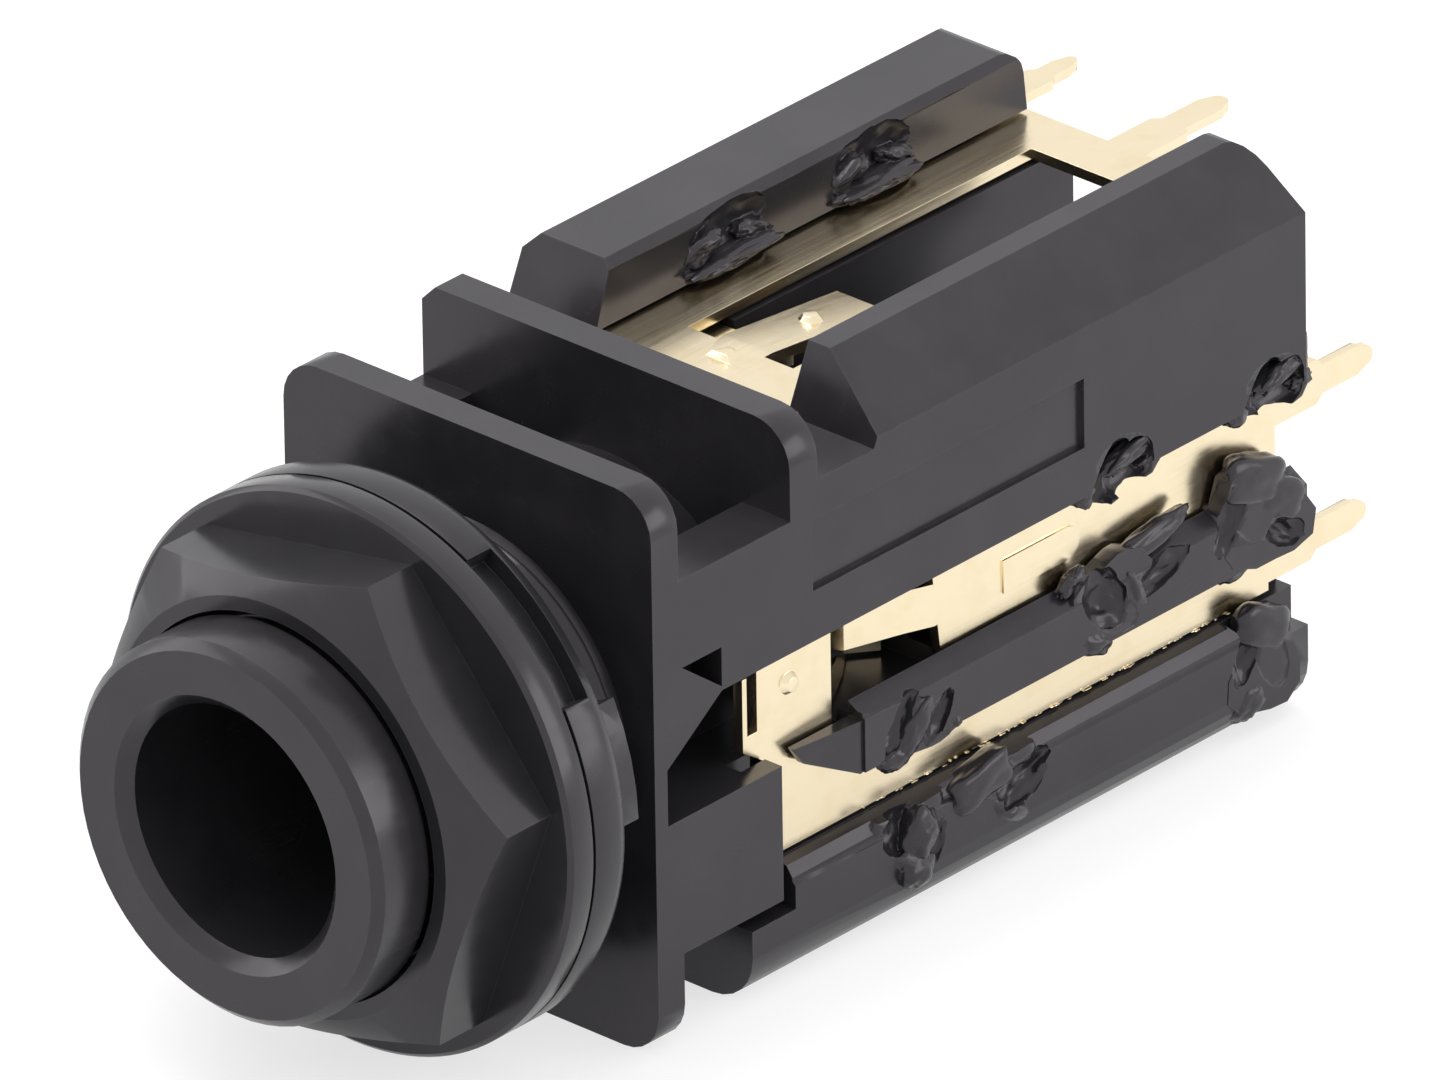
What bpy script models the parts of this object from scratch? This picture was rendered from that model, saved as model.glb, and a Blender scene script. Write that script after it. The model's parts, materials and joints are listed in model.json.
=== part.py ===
"""Panel audio jack socket for a 6.35 mm plug, with a moulded open housing.

The plug goes in along +Y, from the round nose at -Y. +Z is up and +X is the
closed side wall. The origin is on the plug axis, at the front face of the
panel plate. Sizes are written in millimetres and turned into metres by MM.
"""
import math

import bmesh
import bpy
from mathutils import Matrix, Vector

MM = 0.001
ROUND = 64

# Clearances between separate pieces
SHEET_GAP = 0.10 * MM
THREAD_GAP = 0.08 * MM
NUT_SEAT_GAP = 0.10 * MM
SLOT_ROOM = 0.10 * MM

# Overlap of parts that are moulded as one
BITE = 0.25 * MM
SLIVER = 0.02 * MM
PAST = 1.0 * MM

# Plug bore and threaded nose
PLUG_BORE_R = 3.28 * MM
NOSE_WALL = 1.73 * MM
NOSE_LENGTH = 8.76 * MM
NOSE_EDGE = 0.25 * MM
NOSE_ROOT = 0.15 * MM
MOUTH_CHAMFER = 0.35 * MM

# Panel plate, second plate and what joins them
PLATE_EAR = 0.99 * MM
PLATE_THICKNESS = 0.95 * MM
PLATE_CORNER_R = 1.15 * MM
SLOT_WIDTH = 4.03 * MM
SECOND_PLATE_THICKNESS = 0.985 * MM
CORE_STEP = 0.03 * MM
SIDE_WALL_RISE = 0.07 * MM
SIDE_WALL_THICKNESS = 1.6 * MM
SIDE_BLOCK_BACK = 0.43 * MM

# Rear body
BODY_LENGTH = 17.9 * MM
SHEET = 0.30 * MM
TOP_RECESS = 2.10 * MM
SIDE_RECESS = 1.05 * MM
TOP_SLOT_HALF_WIDTH = 1.60 * MM
RIGHT_WALL_WIDTH = 2.80 * MM
RIGHT_BEVEL_WIDTH = 2.10 * MM
RIGHT_BEVEL_DROP = 1.45 * MM
LEFT_WALL_WIDTH = 2.90 * MM
LEFT_TOP_EDGE = 0.45 * MM
LEFT_WALL_LEAN = 0.15 * MM
WALL_FRONT_OFFSET = 2.85 * MM
WALL_FRONT_SLOPE = 0.80 * MM
WALL_NOTCH_DEPTH = 1.74 * MM
WALL_BOTTOM = 1.52 * MM
WALL_REAR_R = 0.60 * MM
EDGE_TUCK = 0.30 * MM
UPPER_OPENING = 2.52 * MM
RIB_HEIGHT = 1.80 * MM
RIB_SLOPE = 0.35 * MM
RIB_OFFSET = 1.60 * MM
RIB_BEAK = 2.70 * MM
BEAK_SLANT = 0.40 * MM
LOWER_OPENING = 1.23 * MM
RAIL_SLOPE = 0.65 * MM
RAIL_LINE = 0.10 * MM
RAIL_CORNER_R = 1.35 * MM
RAIL_WIDTH = 2.90 * MM
RAIL_LEAD = 1.58 * MM
RAIL_TAIL = 1.80 * MM
RAIL_TAIL_DROP = 1.20 * MM

# Heat stakes, which push plastic over the edges of the sheets.
# Their places are shares of the body length.
WALL_STAKES = (0.62, 0.93)
RIB_STAKES = (0.20, 0.60)
RAIL_STAKES = (0.18, 0.37)
LEFT_STAKES = (0.38, 0.68)
END_STAKE = 0.91
STAKE_LENGTH = 2.90 * MM
LIP_REACH = 0.55 * MM
LIP_STEPS = 9
LIP_RIPPLE = 0.28
LIP_WAVES = 7.0
SCOOP_DEPTH = 0.38 * MM
SCOOP_HEIGHT = 0.62 * MM
LUMP_REACH = 0.22 * MM
KNOB_STEPS = 14
RIB_KNOB = (1.90 * MM, 1.30 * MM)
RAIL_KNOB = (1.35 * MM, 1.25 * MM)
KNOB_TILT = -32.0

# Window in the side wall, beside the panel plate
PLATE_SKIN = 0.45 * MM
WINDOW_DROP = 0.40 * MM
WINDOW_DEPTH = 2.60 * MM
NOTCH_RISE = 1.17 * MM
NOTCH_FRONT = 1.03 * MM
NOTCH_LENGTH = 1.42 * MM
NOTCH_DEPTH = 1.00 * MM

# Name recess on the closed side wall, left bare
RECESS_OFFSET = 0.78 * MM
RECESS_LENGTH = 9.90 * MM
RECESS_RISE = 1.37 * MM
RECESS_HEIGHT = 1.90 * MM
RECESS_DEPTH = 0.15 * MM

# Hexagon nut
NUT_WALL = 0.94 * MM
NUT_HEIGHT = 3.15 * MM
NUT_FACE_STEP = 0.46 * MM
NUT_CONE_LENGTH = 0.80 * MM
NUT_TURN = 20.0
FLANGE_THICKNESS = 0.795 * MM
FLANGE_RIM = 0.515 * MM
FLANGE_MARGIN = 0.215 * MM
FLANGE_EDGE = 0.12 * MM

# Keyed washer ring
PANEL_ROOM = 2.30 * MM
RING_THICKNESS = 1.33 * MM
RING_EDGE = 0.50 * MM
RING_NOTCH_DEPTH = 0.50 * MM
RING_NOTCH_LENGTH = 0.82 * MM
RING_NOTCH_FROM = 27.0
RING_NOTCH_TO = 61.0
RING_LUG_LENGTH = 0.42 * MM
RING_LUG_FROM = 63.4
RING_LUG_TO = 88.6

# Contacts
PIN_WIDTH = 0.80 * MM
PIN_ROOT_WIDTH = 1.23 * MM
PIN_ROOT_LENGTH = 1.60 * MM
TOP_PIN_LENGTH = 3.70 * MM
SWITCH_PIN_LENGTH = 2.95 * MM
SIDE_PIN_LENGTH = 3.70 * MM
SHEET_TUCK = 0.20 * MM
TOP_SHEET_OFFSET = 0.40 * MM
TOP_SHEET_OVERHANG = 0.15 * MM
TOP_CROSS_PIECE = 1.55 * MM
TOP_STRIP_WIDTH = 1.68 * MM
TONGUE_OFFSET = 3.90 * MM
TONGUE_LENGTH = 4.60 * MM
TONGUE_WIDTH = 1.55 * MM
TONGUE_DROP = 0.40 * MM
TONGUE_DIMPLE_SHARE = 0.55
HOOK = 0.75 * MM
DART_R = 0.62 * MM
SWITCH_STRIP_WIDTH = 0.90 * MM
SWITCH_STRIP_INSET = 0.40 * MM
SWITCH_STRIP_OFFSET = 3.40 * MM
SWITCH_FINGER_WIDTH = 1.00 * MM
SWITCH_FINGER_OFFSET = 4.75 * MM
TIP_SHEET_OFFSET = 4.75 * MM
TIP_SHEET_SLANT = 0.35 * MM
TIP_SHEET_BACK = 0.45 * MM
TIP_ARM_BACK = 3.20 * MM
TIP_ARM_HEIGHT = 1.15 * MM
TIP_FOLD = 2.45 * MM
TIP_ARM_STAND_OFF = 0.32 * MM
EMBOSS_OFFSET = 2.60 * MM
EMBOSS_LENGTH = 2.80 * MM
EMBOSS_HEIGHT = 0.90 * MM
EMBOSS_RISE = 0.06 * MM
CONTACT_REACH = 0.45 * MM
SLEEVE_LEAD = 1.10 * MM
SLEEVE_LEG = 0.16 * MM
SLEEVE_LEG_HEIGHT = 2.00 * MM
SLEEVE_LEG_SLOPE = 0.90 * MM
SLEEVE_LEG_REACH = 1.35 * MM
SLEEVE_TONGUE_GAP = 0.36 * MM
SLEEVE_TONGUE_WIDTH = 2.68 * MM
SLEEVE_WEB_TOP = -0.62 * MM
SLEEVE_ARM_HEIGHT = 0.85 * MM
SLEEVE_ARM_LENGTH = 3.90 * MM
SLEEVE_BACK = 0.72 * MM
POCKET_DEPTH = 0.85 * MM
DIMPLE_R = 0.42 * MM
DIMPLE_DEPTH = 0.16 * MM
DIMPLE_NARROWING = 0.45
SLEEVE_DIMPLE_RISE = 0.88 * MM

# Values that follow from the driving dimensions
NOSE_R = PLUG_BORE_R + NOSE_WALL
HALF_W = NOSE_R + PLATE_EAR
NUT_BORE_R = NOSE_R + THREAD_GAP
NUT_CORNER_R = 2 * (NOSE_R + NUT_WALL) / math.sqrt(3)
FLANGE_R = NUT_CORNER_R + FLANGE_RIM
HALF_H = FLANGE_R + FLANGE_MARGIN
SIDE_WALL_TOP = NOSE_R + SIDE_WALL_RISE
RING_REAR = -PANEL_ROOM
RING_FRONT = RING_REAR - RING_THICKNESS
FLANGE_REAR = RING_FRONT - NUT_SEAT_GAP
FLANGE_FRONT = FLANGE_REAR - FLANGE_THICKNESS
NUT_FRONT = FLANGE_REAR - NUT_HEIGHT
SECOND_PLATE_FRONT = PLATE_THICKNESS + SLOT_WIDTH
SECOND_PLATE_REAR = SECOND_PLATE_FRONT + SECOND_PLATE_THICKNESS
BODY_REAR = SECOND_PLATE_REAR + BODY_LENGTH
SIDE_BLOCK_REAR = SECOND_PLATE_FRONT - SIDE_BLOCK_BACK
RAIL_FRONT = SECOND_PLATE_FRONT - RAIL_LEAD
RIB_FRONT = SECOND_PLATE_REAR + RIB_OFFSET
WALL_FRONT = SECOND_PLATE_REAR + WALL_FRONT_OFFSET
TOP_FLOOR = HALF_H - TOP_RECESS
SIDE_FLOOR = HALF_W - SIDE_RECESS
SHEET_ROOM = SHEET + 2 * SHEET_GAP
ROOF = TOP_FLOOR + SHEET_ROOM
COVER = SIDE_FLOOR + SHEET_ROOM
TOP_SHEET_Z = TOP_FLOOR + SHEET_GAP
SIDE_SHEET_X = SIDE_FLOOR + SHEET_GAP
RIGHT_WALL_INNER = HALF_W - RIGHT_WALL_WIDTH
LEFT_WALL_INNER = HALF_W - LEFT_WALL_WIDTH
RIB_TOP = WALL_BOTTOM - UPPER_OPENING
RIB_BOTTOM = RIB_TOP - RIB_HEIGHT
RAIL_TOP = RIB_BOTTOM - LOWER_OPENING
RAIL_INNER = HALF_W - RAIL_WIDTH
WINDOW_BOTTOM = RIB_TOP - WINDOW_DROP
TOP_SHEET_HALF_WIDTH = RIGHT_WALL_INNER + SHEET_TUCK
SWITCH_STRIP_X = -(TOP_SHEET_HALF_WIDTH + SWITCH_STRIP_INSET + SWITCH_STRIP_WIDTH / 2)
TOP_SHEET_REAR = BODY_REAR + TOP_SHEET_OVERHANG
TONGUE_ROOT = SECOND_PLATE_REAR + TONGUE_OFFSET
TONGUE_END = TONGUE_ROOT + TONGUE_LENGTH
SWITCH_FINGER_Y = SECOND_PLATE_REAR + SWITCH_FINGER_OFFSET
TIP_SHEET_FRONT = SECOND_PLATE_REAR + TIP_SHEET_OFFSET
TIP_SHEET_REAR = BODY_REAR - TIP_SHEET_BACK
TIP_ARM_END = BODY_REAR - TIP_ARM_BACK
TIP_ARM_MIDDLE = (WALL_BOTTOM + RIB_TOP) / 2
CONTACT_R = PLUG_BORE_R - CONTACT_REACH
SLEEVE_FRONT = SECOND_PLATE_FRONT - SLEEVE_LEAD
SLEEVE_REAR = BODY_REAR - SLEEVE_BACK
SLEEVE_TONGUE_FRONT = SLEEVE_FRONT + SLEEVE_LEG + SLEEVE_TONGUE_GAP
SLEEVE_TONGUE_REAR = SLEEVE_TONGUE_FRONT + SLEEVE_TONGUE_WIDTH
SLEEVE_ARM_TOP = TIP_ARM_MIDDLE - TIP_ARM_HEIGHT / 2 - 2 * SLOT_ROOM - BITE
SLEEVE_ARM_LOW = SLEEVE_ARM_TOP - SLEEVE_ARM_HEIGHT
SLEEVE_ARM_END = SLEEVE_TONGUE_REAR + SLEEVE_ARM_LENGTH

COLOURS = {
    "housing": ((0.045, 0.043, 0.047, 1.0), 0.0, 0.45),
    "nut": ((0.040, 0.040, 0.044, 1.0), 0.0, 0.40),
    "washer": ((0.036, 0.036, 0.040, 1.0), 0.0, 0.42),
    "gold": ((0.87, 0.70, 0.40, 1.0), 1.0, 0.25),
}


def clear_scene():
    for item in list(bpy.data.objects):
        bpy.data.objects.remove(item, do_unlink=True)


def material(name):
    colour, metallic, roughness = COLOURS[name]
    made = bpy.data.materials.get(name) or bpy.data.materials.new(name)
    made.use_nodes = True
    made.diffuse_color = colour
    shader = made.node_tree.nodes["Principled BSDF"]
    shader.inputs["Base Color"].default_value = colour
    shader.inputs["Metallic"].default_value = metallic
    shader.inputs["Roughness"].default_value = roughness
    return made


def object_from(bm, name):
    bmesh.ops.remove_doubles(bm, verts=bm.verts, dist=1e-7)
    bmesh.ops.recalc_face_normals(bm, faces=bm.faces)
    mesh = bpy.data.meshes.new(name)
    bm.to_mesh(mesh)
    bm.free()
    made = bpy.data.objects.new(name, mesh)
    bpy.context.scene.collection.objects.link(made)
    return made


def placed(axis, across, up, along):
    """A point from its place along the extrusion axis and in its section."""
    if axis == "x":
        return Vector((along, across, up))
    if axis == "y":
        return Vector((across, along, up))
    return Vector((across, up, along))


def prism(outline, axis, low, high, name="prism"):
    """A closed outline pushed along one axis. Sections: x (y, z), y (x, z), z (x, y)."""
    bm = bmesh.new()
    ends = []
    for along in (low, high):
        ends.append([bm.verts.new(placed(axis, a, b, along)) for a, b in outline])
    bm.faces.new(ends[0])
    bm.faces.new(list(reversed(ends[1])))
    count = len(outline)
    for i in range(count):
        j = (i + 1) % count
        bm.faces.new((ends[0][i], ends[0][j], ends[1][j], ends[1][i]))
    return object_from(bm, name)


def block(x0, x1, y0, y1, z0, z1, name="block"):
    return prism([(x0, z0), (x1, z0), (x1, z1), (x0, z1)], "y", y0, y1, name)


def turned(profile, name="turned", segments=ROUND):
    """A closed (radius, y) profile spun about the plug axis."""
    bm = bmesh.new()
    rings = []
    for i in range(segments):
        angle = 2 * math.pi * i / segments
        rings.append([bm.verts.new((r * math.sin(angle), y, r * math.cos(angle))) for r, y in profile])
    count = len(profile)
    for i in range(segments):
        here, there = rings[i], rings[(i + 1) % segments]
        for a in range(count):
            b = (a + 1) % count
            bm.faces.new((here[a], here[b], there[b], there[a]))
    return object_from(bm, name)


def cylinder(radius, y0, y1, name="cylinder", segments=ROUND):
    points = []
    for i in range(segments):
        angle = 2 * math.pi * i / segments
        points.append((radius * math.sin(angle), radius * math.cos(angle)))
    return prism(points, "y", y0, y1, name)


def arc(centre, radius, start, end, steps=6):
    """Points on an arc, angles in degrees from the first section axis."""
    points = []
    for i in range(steps + 1):
        angle = math.radians(start + (end - start) * i / steps)
        points.append((centre[0] + radius * math.cos(angle), centre[1] + radius * math.sin(angle)))
    return points


def rounded_rectangle(x0, x1, z0, z1, radius):
    points = []
    points += arc((x1 - radius, z1 - radius), radius, 0, 90)
    points += arc((x0 + radius, z1 - radius), radius, 90, 180)
    points += arc((x0 + radius, z0 + radius), radius, 180, 270)
    points += arc((x1 - radius, z0 + radius), radius, 270, 360)
    return points


def ribbon(path, thickness):
    """The outline of a bent strip of even thickness, drawn along a centre path."""
    left, right = [], []
    for i, point in enumerate(path):
        here = Vector(point)
        before = Vector(path[max(i - 1, 0)])
        after = Vector(path[min(i + 1, len(path) - 1)])
        first = (here - before).normalized() if i else (after - here).normalized()
        last = (after - here).normalized() if i < len(path) - 1 else first
        normal_a = Vector((-first.y, first.x))
        normal_b = Vector((-last.y, last.x))
        middle = (normal_a + normal_b).normalized()
        reach = thickness / 2 / max(middle.dot(normal_a), 0.5)
        left.append(tuple(here + middle * reach))
        right.append(tuple(here - middle * reach))
    return left + list(reversed(right))


def boolean(target, tools, operation):
    """Joins or cuts with each tool in turn and keeps the plain result."""
    for tool in tools:
        step = target.modifiers.new("boolean", "BOOLEAN")
        step.operation = operation
        step.solver = "EXACT"
        step.object = tool
        bpy.context.view_layer.update()
        graph = bpy.context.evaluated_depsgraph_get()
        result = bpy.data.meshes.new_from_object(target.evaluated_get(graph))
        target.modifiers.clear()
        old = target.data
        target.data = result
        bpy.data.meshes.remove(old)
        bpy.data.objects.remove(tool, do_unlink=True)
    return target


def join(target, tools):
    return boolean(target, tools, "UNION")


def cut(target, tools):
    return boolean(target, tools, "DIFFERENCE")


def finish(target, name, look, angle=32.0):
    target.name = name
    target.data.name = name
    target.data.materials.clear()
    target.data.materials.append(material(look))
    target.data.shade_smooth()
    target.data.set_sharp_from_angle(angle=math.radians(angle))
    return target


def nose_tube():
    """The nose, with a small cone at its root that runs into the plate."""
    profile = [
        (PLUG_BORE_R + MOUTH_CHAMFER, -NOSE_LENGTH),
        (NOSE_R - NOSE_EDGE, -NOSE_LENGTH),
        (NOSE_R, -NOSE_LENGTH + NOSE_EDGE),
        (NOSE_R, -NOSE_ROOT),
        (NOSE_R + 2 * NOSE_ROOT, NOSE_ROOT),
        (NOSE_R + 2 * NOSE_ROOT, PLATE_THICKNESS * 0.6),
        (PLUG_BORE_R, PLATE_THICKNESS * 0.6),
        (PLUG_BORE_R, -NOSE_LENGTH + MOUTH_CHAMFER),
    ]
    return turned(profile)


def side_section(sign):
    """Half of the body section on one side, from the top wall down to the rail."""
    line_x = HALF_W - RAIL_LINE
    line_z = RAIL_TOP - RAIL_SLOPE
    points = [
        (HALF_W, WALL_BOTTOM),
        (COVER, WALL_BOTTOM),
        (COVER, WALL_BOTTOM + EDGE_TUCK),
        (SIDE_FLOOR, WALL_BOTTOM + EDGE_TUCK),
        (SIDE_FLOOR, RIB_TOP - EDGE_TUCK),
        (COVER, RIB_TOP - EDGE_TUCK),
        (COVER, RIB_TOP),
        (HALF_W, RIB_TOP - RIB_SLOPE),
        (HALF_W, RIB_BOTTOM),
        (COVER, RIB_BOTTOM),
        (COVER, RIB_BOTTOM + EDGE_TUCK),
        (SIDE_FLOOR, RIB_BOTTOM + EDGE_TUCK),
        (SIDE_FLOOR, RAIL_TOP - EDGE_TUCK),
        (COVER, RAIL_TOP - EDGE_TUCK),
        (COVER, RAIL_TOP),
        (line_x, line_z),
        (line_x, line_z - RAIL_LINE),
        (HALF_W, line_z - 2 * RAIL_LINE),
    ]
    corner = (HALF_W - RAIL_CORNER_R, -HALF_H + RAIL_CORNER_R)
    points += arc(corner, RAIL_CORNER_R, 0, -90)
    points += [(RAIL_INNER, -HALF_H), (RAIL_INNER, -TOP_FLOOR)]
    return [(sign * a, b) for a, b in points]


def body_section():
    """The section of the rear body, the same all along its length."""
    groove = TOP_SHEET_HALF_WIDTH + SHEET_GAP
    left_groove = SWITCH_STRIP_X - SWITCH_STRIP_WIDTH / 2 - SHEET_GAP
    right = [
        (groove, TOP_FLOOR),
        (groove, ROOF),
        (RIGHT_WALL_INNER, ROOF),
        (RIGHT_WALL_INNER, HALF_H),
        (HALF_W - RIGHT_BEVEL_WIDTH, HALF_H),
        (HALF_W, HALF_H - RIGHT_BEVEL_DROP),
    ]
    left = [
        (-HALF_W, HALF_H - LEFT_TOP_EDGE),
        (-HALF_W + LEFT_TOP_EDGE, HALF_H),
        (-LEFT_WALL_INNER - LEFT_WALL_LEAN - LEFT_TOP_EDGE / 2, HALF_H),
        (-LEFT_WALL_INNER - LEFT_WALL_LEAN, HALF_H - LEFT_TOP_EDGE / 2),
        (-LEFT_WALL_INNER, ROOF),
        (left_groove, ROOF),
        (left_groove, TOP_FLOOR),
    ]
    return right + side_section(1) + list(reversed(side_section(-1))) + left


def rear_body():
    return prism(body_section(), "y", RAIL_FRONT, BODY_REAR, "housing")


def front_cuts():
    """Room between the plates, behind the second plate and in front of the ribs."""
    wide = HALF_W + PAST
    tools = [block(-wide, wide, 0, SECOND_PLATE_FRONT, -TOP_FLOOR, HALF_H + PAST)]
    for sign in (-1, 1):
        near, far = sorted((sign * SIDE_FLOOR, sign * wide))
        tools.append(block(near, far, 0, RIB_FRONT, RIB_BOTTOM - EDGE_TUCK, RIB_TOP + EDGE_TUCK))
    floor = HALF_H - WALL_NOTCH_DEPTH
    notch = [
        (SECOND_PLATE_REAR, floor),
        (WALL_FRONT - WALL_FRONT_SLOPE, floor),
        (WALL_FRONT, HALF_H + SLIVER),
        (SECOND_PLATE_REAR, HALF_H + SLIVER),
    ]
    tools.append(prism(notch, "x", -wide, wide))
    return tools


def rear_cuts():
    """Rounded rear ends of the two walls and the step at the end of each rail."""
    wide = HALF_W + PAST
    centre = (BODY_REAR - WALL_REAR_R, HALF_H - WALL_REAR_R)
    rounding = arc(centre, WALL_REAR_R, 90, 0, 4)
    rounding += [
        (BODY_REAR + PAST, HALF_H - WALL_REAR_R),
        (BODY_REAR + PAST, HALF_H + PAST),
        (BODY_REAR - WALL_REAR_R, HALF_H + PAST)]
    tools = [prism(rounding, "x", -wide, wide)]
    start = BODY_REAR - RAIL_TAIL - RAIL_TAIL_DROP
    step = [
        (start, RAIL_TOP + SLIVER),
        (start + RAIL_TAIL_DROP, RAIL_TOP - RAIL_TAIL_DROP),
        (BODY_REAR + PAST, RAIL_TOP - RAIL_TAIL_DROP),
        (BODY_REAR + PAST, RAIL_TOP + SLIVER)]
    tools.append(prism(step, "x", COVER, wide))
    tools.append(prism(step, "x", -wide, -COVER))
    return tools


def plates():
    outline = rounded_rectangle(-HALF_W, HALF_W, -HALF_H, HALF_H, PLATE_CORNER_R)
    plate = prism(outline, "y", 0, PLATE_THICKNESS)
    upper = prism(outline, "y", SECOND_PLATE_FRONT, SECOND_PLATE_REAR)
    wide = HALF_W + PAST
    lower = block(-wide, wide, 0, BODY_REAR, -HALF_H - PAST, WALL_BOTTOM)
    cut(upper, [lower])
    return [plate, upper]


def between_plates():
    start = PLATE_THICKNESS * 0.4
    core = cylinder(NOSE_R - CORE_STEP, start, SECOND_PLATE_REAR)
    walls = []
    for sign in (-1, 1):
        low, high = sorted((sign * HALF_W, sign * (HALF_W - SIDE_WALL_THICKNESS)))
        end = SECOND_PLATE_FRONT + SECOND_PLATE_THICKNESS / 2
        walls.append(block(low, high, start, end, WALL_BOTTOM, SIDE_WALL_TOP))
        walls.append(block(low, high, start, SIDE_BLOCK_REAR, -SIDE_WALL_TOP, WALL_BOTTOM + BITE))
    return [core] + walls


def rib_beaks():
    """The pointed front ends of the ribs, which stand free over the side sheets."""
    root = RIB_FRONT + 0.2 * RIB_BEAK
    beaks = []
    for sign in (-1, 1):
        outline = [
            (RIB_FRONT - RIB_BEAK, RIB_TOP + 0.20 * RIB_HEIGHT),
            (RIB_FRONT - RIB_BEAK / 2, RIB_TOP + 0.25 * RIB_HEIGHT),
            (root, RIB_TOP - 0.25 * RIB_HEIGHT),
            (root, RIB_BOTTOM + 0.1 * RIB_HEIGHT),
            (RIB_FRONT - 0.03 * RIB_BEAK, RIB_BOTTOM - 0.02 * RIB_HEIGHT),
            (RIB_FRONT - 0.70 * RIB_BEAK, RIB_TOP - RIB_HEIGHT / 2),
        ]
        near, far = sorted((sign * (COVER + SLIVER), sign * (HALF_W - SLIVER)))
        beak = prism(outline, "x", near, far)
        slant = [
            (sign * (HALF_W + PAST), root),
            (sign * (HALF_W - SLIVER), root),
            (sign * (HALF_W - BEAK_SLANT), RIB_FRONT - RIB_BEAK - SLIVER),
            (sign * (HALF_W + PAST), RIB_FRONT - RIB_BEAK - SLIVER),
        ]
        beaks.append(cut(beak, [prism(slant, "z", RIB_BOTTOM - PAST, RIB_TOP + PAST)]))
    return beaks


def along(share):
    return SECOND_PLATE_REAR + share * BODY_LENGTH


def ragged(start, length, level, reach, phase):
    """The free edge of plastic that a stake has pushed over a sheet."""
    points = []
    for i in range(LIP_STEPS + 1):
        share = i / LIP_STEPS
        swell = math.sqrt(abs(math.sin(math.pi * share)))
        ripple = 1 + LIP_RIPPLE * math.sin(LIP_WAVES * share + phase)
        points.append((start + share * length, level + reach * swell * ripple))
    root = level - math.copysign(BITE, reach)
    return points + [(start + length - SLIVER, root), (start + SLIVER, root)]


def side_lip(sign, middle, level, reach, phase):
    near, far = sorted((sign * (COVER + SLIVER), sign * (HALF_W - 2 * SLIVER)))
    outline = ragged(middle - STAKE_LENGTH / 2, STAKE_LENGTH, level, reach, phase)
    return prism(outline, "x", near, far)


def scoop(centre, radii, tilt=0.0):
    """The hollow that the tool leaves, or a lump that it throws up."""
    bm = bmesh.new()
    bmesh.ops.create_uvsphere(bm, u_segments=12, v_segments=7, radius=1.0)
    size = Matrix.Diagonal((*radii, 1.0))
    turn = Matrix.Rotation(math.radians(tilt), 4, "X")
    bmesh.ops.transform(bm, matrix=Matrix.Translation(Vector(centre)) @ turn @ size, verts=bm.verts)
    return object_from(bm, "scoop")


def side_scoop(sign, middle, level, tilt=0.0):
    radii = (2 * SCOOP_DEPTH, STAKE_LENGTH * 0.4, SCOOP_HEIGHT)
    return scoop((sign * (HALF_W + SCOOP_DEPTH), middle, level), radii, tilt)


def side_stakes(sign):
    """Lips and hollows on the wall, the rib and the rail of one side."""
    lips, hollows = [], []
    for i, share in enumerate(WALL_STAKES):
        lips.append(side_lip(sign, along(share), WALL_BOTTOM, -LIP_REACH, i))
        hollows.append(side_scoop(sign, along(share), WALL_BOTTOM + SCOOP_HEIGHT))
    for i, share in enumerate(RIB_STAKES):
        downwards = i % 2 == 0
        level = RIB_BOTTOM if downwards else RIB_TOP - RIB_SLOPE / 2
        reach = -LIP_REACH / 2 if downwards else LIP_REACH
        lips.append(side_lip(sign, along(share), level, reach, 2 + i))
        hollows.append(side_scoop(sign, along(share), (RIB_TOP - RIB_SLOPE + RIB_BOTTOM) / 2, KNOB_TILT))
    line = RAIL_TOP - RAIL_SLOPE
    for i, share in enumerate(RAIL_STAKES):
        hollows.append(side_scoop(sign, along(share), line - SCOOP_HEIGHT / 2, KNOB_TILT / 2))
        radii = (LUMP_REACH * 2, STAKE_LENGTH * 0.3, SCOOP_HEIGHT * 0.6)
        lips.append(scoop(
            (sign * (HALF_W - LUMP_REACH), along(share) + i * BITE, line - 2 * SCOOP_HEIGHT), radii, KNOB_TILT))
    return lips, hollows


def knob_outline(middle, level, radii, phase):
    """A rough oval, tilted down to the rear."""
    tilt = math.radians(KNOB_TILT)
    points = []
    for i in range(KNOB_STEPS):
        angle = 2 * math.pi * i / KNOB_STEPS
        size = 1 + LIP_RIPPLE / 2 * math.sin(3 * angle + phase)
        a = radii[0] * size * math.cos(angle)
        b = radii[1] * size * math.sin(angle)
        points.append((
            middle + a * math.cos(tilt) - b * math.sin(tilt), level + a * math.sin(tilt) + b * math.cos(tilt)))
    return points


def end_knobs(sign):
    """The last stakes, which leave rough ends on the rib and the rail."""
    near, far = sorted((sign * (COVER + SLIVER), sign * (HALF_W + SLIVER)))
    rib_level = (RIB_TOP + RIB_BOTTOM) / 2 + BITE
    rail_level = RAIL_TOP - RAIL_TAIL_DROP - RAIL_KNOB[1] / 2
    knobs = [
        prism(knob_outline(along(END_STAKE), rib_level, RIB_KNOB, 1.0), "x", near, far),
        prism(knob_outline(along(END_STAKE), rail_level, RAIL_KNOB, 2.0), "x", near, far)]
    hollows = [
        side_scoop(sign, along(END_STAKE) - BITE, rib_level, KNOB_TILT),
        side_scoop(sign, along(END_STAKE) + BITE, rail_level + BITE, 2 * KNOB_TILT)]
    return knobs, hollows


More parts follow.
